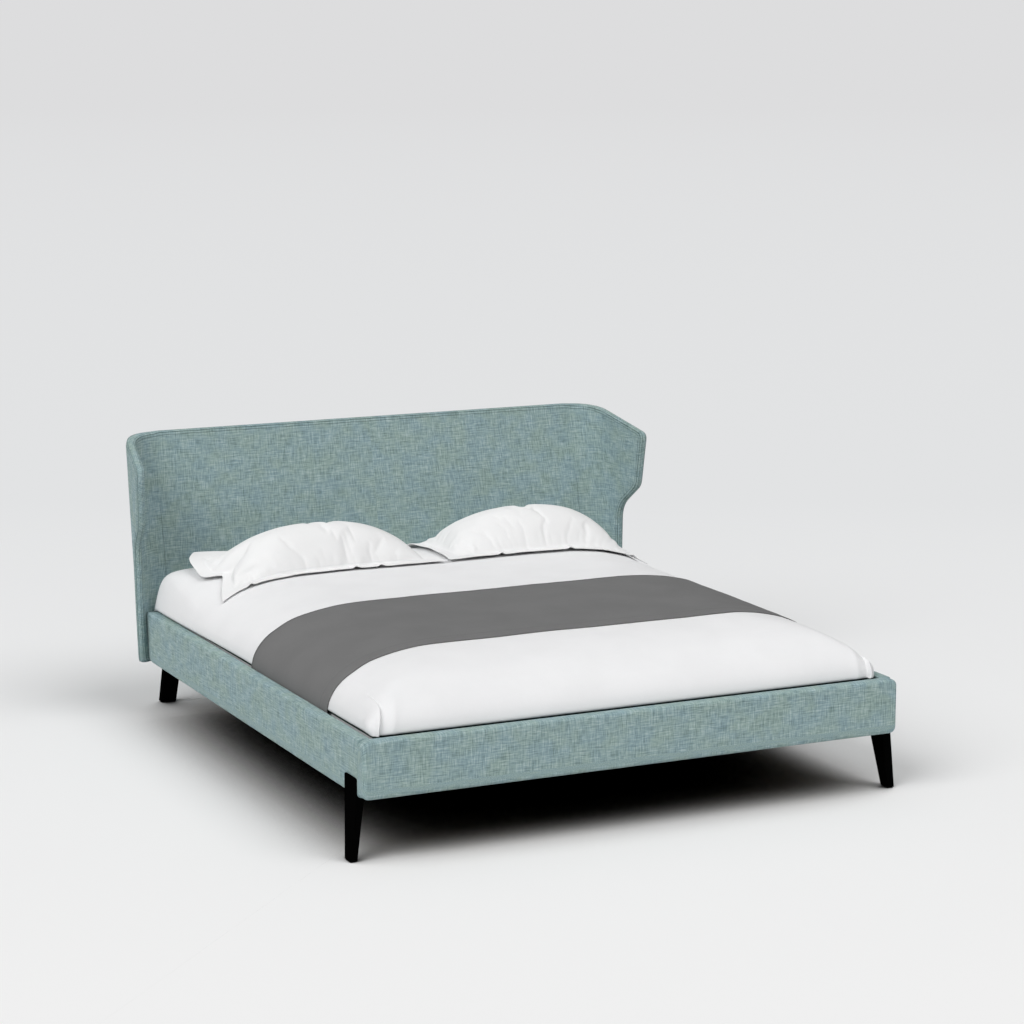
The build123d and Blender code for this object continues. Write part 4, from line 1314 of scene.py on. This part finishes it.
@dataclass
class Pillow:
    """A flanged pillow lying on the bedding.

    Attributes:
        finishes: the materials.
        bedding: what it lies on.
        side: which side of the bed.
        corners: front left, front right, back left and back right corners as (x, y).
        lifts: how far each of those corners stands off the bedding.
        outer_edge: how far the edge at the bed's side is pulled in, as (share of its length, pull).
        pinches: small folds of the front flange, as shares of its length.
        rise: how high its crown stands over the bedding.
        flange: the flat border's width.
        waist: how far the middle of each edge is pulled in.
        most_move: how far the cloth simulation may move a point.
        columns: mesh columns across it.
        rows: mesh rows along it.
    """

    finishes: Finishes
    bedding: Bedding
    side: Side
    corners: tuple[Pair, Pair, Pair, Pair]
    lifts: tuple[float, float, float, float]
    pinches: tuple[float, ...]
    outer_edge: tuple[Pair, ...] = ()
    rise: float = 0.136
    flange: float = 0.046
    waist: float = 0.024
    most_move: float = 0.026
    columns: int = 92
    rows: int = 54

    @property
    def size(self) -> Pair:
        """Its width and its depth."""
        (left, front), (right, _), (_, back), _ = self.corners
        return right - left, back - front

    def blend(self, values: Sequence[float], u: float, v: float) -> float:
        """Mixes four corner values."""
        return lerp(lerp(values[0], values[1], u), lerp(values[2], values[3], u), v)

    def plan(self, u: float, v: float) -> Pair:
        """Where a share across and along the pillow lies, with its sides pulled in."""
        x = self.blend([c[0] for c in self.corners], u, v)
        y = self.blend([c[1] for c in self.corners], u, v)
        pull_y = self.waist * math.sin(math.pi * u) ** 0.8 * (2 * v - 1)
        pull_x = self.waist * math.sin(math.pi * v) ** 0.8 * (2 * u - 1)
        if self.outer_edge:
            outer = smooth_step(0.35, 0.0, u if self.side is Side.LEFT else 1 - u)
            pull_x = lerp(pull_x, curve_at(self.outer_edge, v) * self.side.value, outer)
        return x - pull_x, y - pull_y

    def inside(self, u: float, v: float) -> Pair:
        """Shares from the flange's inner line to the middle, across and along."""
        ring_u, ring_v = (self.flange / size for size in self.size)
        across = clamp(min(u - ring_u, 1 - ring_u - u) / (0.5 - ring_u))
        return across, clamp(min(v - ring_v, 1 - ring_v - v) / (0.5 - ring_v))

    def to_edge(self, u: float, v: float) -> float:
        """Distance to the nearest edge."""
        wide, deep = self.size
        return min(min(u, 1 - u) * wide, min(v, 1 - v) * deep)

    def puff(self, u: float, v: float) -> float:
        """Share of the rise at a place, 0 on the flange."""
        a, b = self.inside(u, v)
        return (1 - (1 - a) ** 2.3) ** 0.72 * (1 - (1 - b) ** 2.0) ** 0.72

    def ripple(self, u: float, v: float) -> float:
        """The flange's soft waves, strongest at its outer edge."""
        edge = self.to_edge(u, v)
        free = smooth_step(self.flange, 0.0, edge)
        wave = 0.5 + 0.5 * wobble(Vector((u * 9, v * 5, 0)), 1.0, 11.0 + self.side.value)
        result = 0.006 * wave * free
        if v < 0.2:
            for place in self.pinches:
                fades = smooth_step(self.flange * 1.9, self.flange * 0.6, edge)
                result += 0.011 * bell(u, place, 0.008) * fades * (0.35 + 0.65 * free)
        return result

    def build(self) -> None:
        """Makes the pillow."""
        surface = Surface(f"{self.side.label}_pillow_cover")
        top, low = [], []
        for j in range(self.rows + 1):
            v = j / self.rows
            top.append([])
            low.append([])
            for i in range(self.columns + 1):
                u = i / self.columns
                x, y = self.plan(u, v)
                lift = self.blend(self.lifts, u, v**3) * (1 - min(self.inside(u, v))) ** 6
                ground = self.bedding.top(x, y) + (0.003 + lift + self.ripple(u, v))
                high = ground + 0.004 + self.puff(u, v) * self.rise
                seam = abs(self.to_edge(u, v) - self.flange)
                for row, z in ((top[-1], high), (low[-1], ground)):
                    row.append(surface.add(SIZES.row(x, y, z), (x, y), seam))
        surface.shell(top, low)
        obj = surface.build(merge=1e-7)
        self.plump(obj)
        subdivide(obj)
        body = Body.LEFT_PILLOW if self.side is Side.LEFT else Body.RIGHT_PILLOW
        settle(obj, body, [f"{self.side.label}_pillow"], self.finishes.pillow)

    def plump(self, obj: Object) -> None:
        """Blows the filled part up as cloth, so that the spare fabric wrinkles by itself."""
        start = [vertex.co.copy() for vertex in obj.data.vertices]
        held = obj.vertex_groups.new(name="held")
        per_row = 2 * (self.columns + 1)
        for j in range(self.rows + 1):
            for i in range(self.columns + 1):
                inside = self.inside(i / self.columns, j / self.rows)
                number = j * per_row + 2 * i
                held.add([number], 1.0 if min(inside) <= 0 else 0.0, "REPLACE")
                held.add([number + 1], 1.0, "REPLACE")
        cloth = obj.modifiers.new("plump", "CLOTH")
        settings = {
            "quality": 6,
            "mass": 0.25,
            "tension_stiffness": 12,
            "compression_stiffness": 12,
            "shear_stiffness": 6,
            "bending_stiffness": 0.12,
            "air_damping": 2,
            "vertex_group_mass": "held",
            "shrink_min": -0.035,
            "use_pressure": True,
            "uniform_pressure_force": 4,
        }
        for key, value in settings.items():
            setattr(cloth.settings, key, value)
        cloth.settings.effector_weights.gravity = 0
        cloth.collision_settings.use_collision = False
        cloth.collision_settings.use_self_collision = False
        cloth.point_cache.frame_start, cloth.point_cache.frame_end = 1, 20
        scene = bpy.context.scene
        for number in range(1, 21):
            scene.frame_set(number)
        blown = obj.evaluated_get(bpy.context.evaluated_depsgraph_get())
        moved = [vertex.co.copy() for vertex in blown.to_mesh().vertices]
        blown.to_mesh_clear()
        obj.modifiers.remove(cloth)
        scene.frame_set(1)
        for vertex, before, after in zip(obj.data.vertices, start, moved):
            step = after - before
            vertex.co = before + step * min(1.0, self.most_move / max(step.length, 1e-9))
        most = max((a - b).length for a, b in zip(moved, start))
        log.info("%s: moved at most %.1f mm", obj.name, most * 1000)


@dataclass
class Studio:
    """Floor, light, world and camera.

    Attributes:
        lens: focal length on a 36 mm sensor, from the photograph's perspective.
        place: the camera's position, measured from the foot rail's front face.
        turn: how far the camera is turned towards +X, in degrees.
        dip: how far it looks down, in degrees.
        near_tone: the floor's colour in front.
        middle_tone: its colour level with the headboard.
        far_tone: its colour far behind the bed, and the background's.
        even_from: distance from the bed's middle at which the floor starts to turn even.
        even_to: distance at which it is all one tone.
        sky: the world's strength overhead; it fades to nothing near the horizon.
    """

    lens: float = 99.7
    place: Triple = (-4.136, -7.713, 2.605)
    turn: float = 25.49
    dip: float = 10.24
    near_tone: str = "#F1F1F1"
    middle_tone: str = "#E2E3E4"
    far_tone: str = "#DDDDDE"
    even_from: float = 2.4
    even_to: float = 4.5
    sky: float = 0.42

    def camera(self) -> None:
        """Sets the camera where the photograph was taken from."""
        data = bpy.data.cameras.new("camera")
        data.lens = self.lens
        data.sensor_width = 36
        data.sensor_fit = "HORIZONTAL"
        data.clip_end = 400
        obj = bpy.data.objects.new("camera", data)
        obj.location = SIZES.row(*self.place)
        obj.rotation_euler = (math.radians(90 - self.dip), 0, math.radians(-self.turn))
        bpy.context.scene.collection.objects.link(obj)
        bpy.context.scene.camera = obj

    def floor(self) -> None:
        """Lays a pale floor that takes the shadow near the bed, with painted shade under it, and is
        one even tone further out.
        """
        bpy.ops.mesh.primitive_plane_add(size=400, location=(0, 0, 0))
        obj = bpy.context.active_object
        obj.name = "floor"
        s = Shader(Finish("floor_paper", self.near_tone, roughness=0.95, shine=0.0))
        place = s.node("TexCoord", output="Object")
        away = s.node("VectorMath", (place,), "Value", operation="LENGTH")
        # How far back, the way that the camera looks.
        ahead = (0.430, 0.903, 0)
        back = s.node("VectorMath", (place, ahead), "Value", operation="DOT_PRODUCT")
        near = s.paint(back, -2.5, 5.0, self.near_tone, self.middle_tone)
        tone = s.paint(back, 5.0, 60.0, near, self.far_tone)
        # Painted shade under the bed: the floor's colour turns black where it sees little sky
        # within 1.2 m.
        open_sky = s.node("AmbientOcclusion", {"Distance": 1.2}, "AO", samples=24)
        s.feed("Base Color", s.paint(open_sky, 0.16, 0.66, "#000000", tone))
        share = s.node("MapRange", (away, self.even_from, self.even_to))
        camera = s.node("LightPath", output="Is Camera Ray")
        seen = s.node("Math", (share, camera), operation="MULTIPLY")
        mixed = s.node("MixShader", (seen, s.main.outputs[0], s.node("Emission", (tone,))))
        s.tree.links.new(mixed, s.tree.nodes["Material Output"].inputs["Surface"])
        obj.data.materials.append(s.material)

    def light(self, name: str, way: Triple, level: float, spread: float) -> None:
        """Sets a far, very large soft light.

        Args:
            name: its name.
            way: the direction from the bed to it.
            level: how brightly it alone lights a white face turned to it, 1 being white.
            spread: how wide it looks from the bed, in degrees.
        """
        data = bpy.data.lights.new(name, "SUN")
        data.angle = math.radians(spread)
        data.energy = level * math.pi
        obj = bpy.data.objects.new(name, data)
        obj.rotation_euler = (-Vector(way)).to_track_quat("-Z", "Y").to_euler()
        bpy.context.scene.collection.objects.link(obj)

    def world(self) -> None:
        """Sets a soft even sky, and a plain pale ground for what the camera sees past the floor."""
        world = bpy.data.worlds.new("studio")
        bpy.context.scene.world = world
        world.use_nodes = True
        tree = world.node_tree
        way = add_node(tree, "TexCoord", output="Generated")
        height = add_node(tree, "SeparateXYZ", (way,), "Z")
        strength = add_node(tree, "MapRange", (height, 0.08, 0.8, 0.0, self.sky))
        sky = add_node(tree, "Background", ("#FFFFFF", strength))
        ground = add_node(tree, "Background", (self.far_tone,))
        camera = add_node(tree, "LightPath", output="Is Camera Ray")
        mixed = add_node(tree, "MixShader", (camera, sky, ground))
        tree.links.new(mixed, tree.nodes["World Output"].inputs["Surface"])

    def build(self) -> None:
        """Sets up the whole studio."""
        self.camera()
        self.floor()
        self.world()
        self.light("left_light", (-0.70, -0.30, 0.64), 0.56, 40)
        self.light("right_light", (0.28, -0.47, 0.84), 0.36, 40)
        bpy.context.scene.view_settings.view_transform = "Standard"


def repaint(finishes: Finishes) -> None:
    """Gives every CAD node that stays its real material."""
    by_slot = {
        "frame_timber": finishes.softwood,
        "base_timber": finishes.softwood,
        "slat_birch": finishes.birch,
        "holder_rubber": finishes.rubber,
        "leg_lacquer": finishes.lacquer,
        "glide_felt": finishes.felt,
        "fitting_steel": finishes.powder,
        "beam_paint": finishes.powder,
        "fixing_zinc": finishes.zinc,
        "foot_plastic": finishes.rubber,
    }
    for part in frame["record"]["subparts"]:
        material = by_slot.get(part["material_slot"])
        if material:
            data = frame["nodes"][part["node"]].data
            data.materials.clear()
            data.materials.append(material)


def main() -> None:
    """Builds the whole scene."""
    finishes = Finishes()
    Studio().build()
    repaint(finishes)
    Headboard(finishes).build()
    PaddedRails(finishes).build()
    bedding = Bedding(finishes)
    bedding.build()
    Mattress(finishes).build()
    Runner(finishes, bedding).build()
    Pillow(
        finishes,
        bedding,
        Side.LEFT,
        corners=((-0.845, 1.570), (0.040, 1.588), (-0.832, 1.985), (0.024, 2.072)),
        lifts=(0.002, 0.002, 0.050, 0.006),
        pinches=(0.13, 0.60, 0.71),
        outer_edge=(
            (0, 0),
            (0.25, 0.032),
            (0.46, 0.066),
            (0.51, 0.060),
            (0.57, 0.012),
            (0.75, 0),
            (0.92, 0),
            (1, 0.028),
        ),
    ).build()
    Pillow(
        finishes,
        bedding,
        Side.RIGHT,
        corners=((0.046, 1.592), (0.856, 1.560), (0.046, 2.058), (0.868, 2.055)),
        lifts=(0.006, 0.004, 0.012, 0.010),
        pinches=(0.27, 0.62, 0.93),
    ).build()


if __name__ == "__main__":
    main()
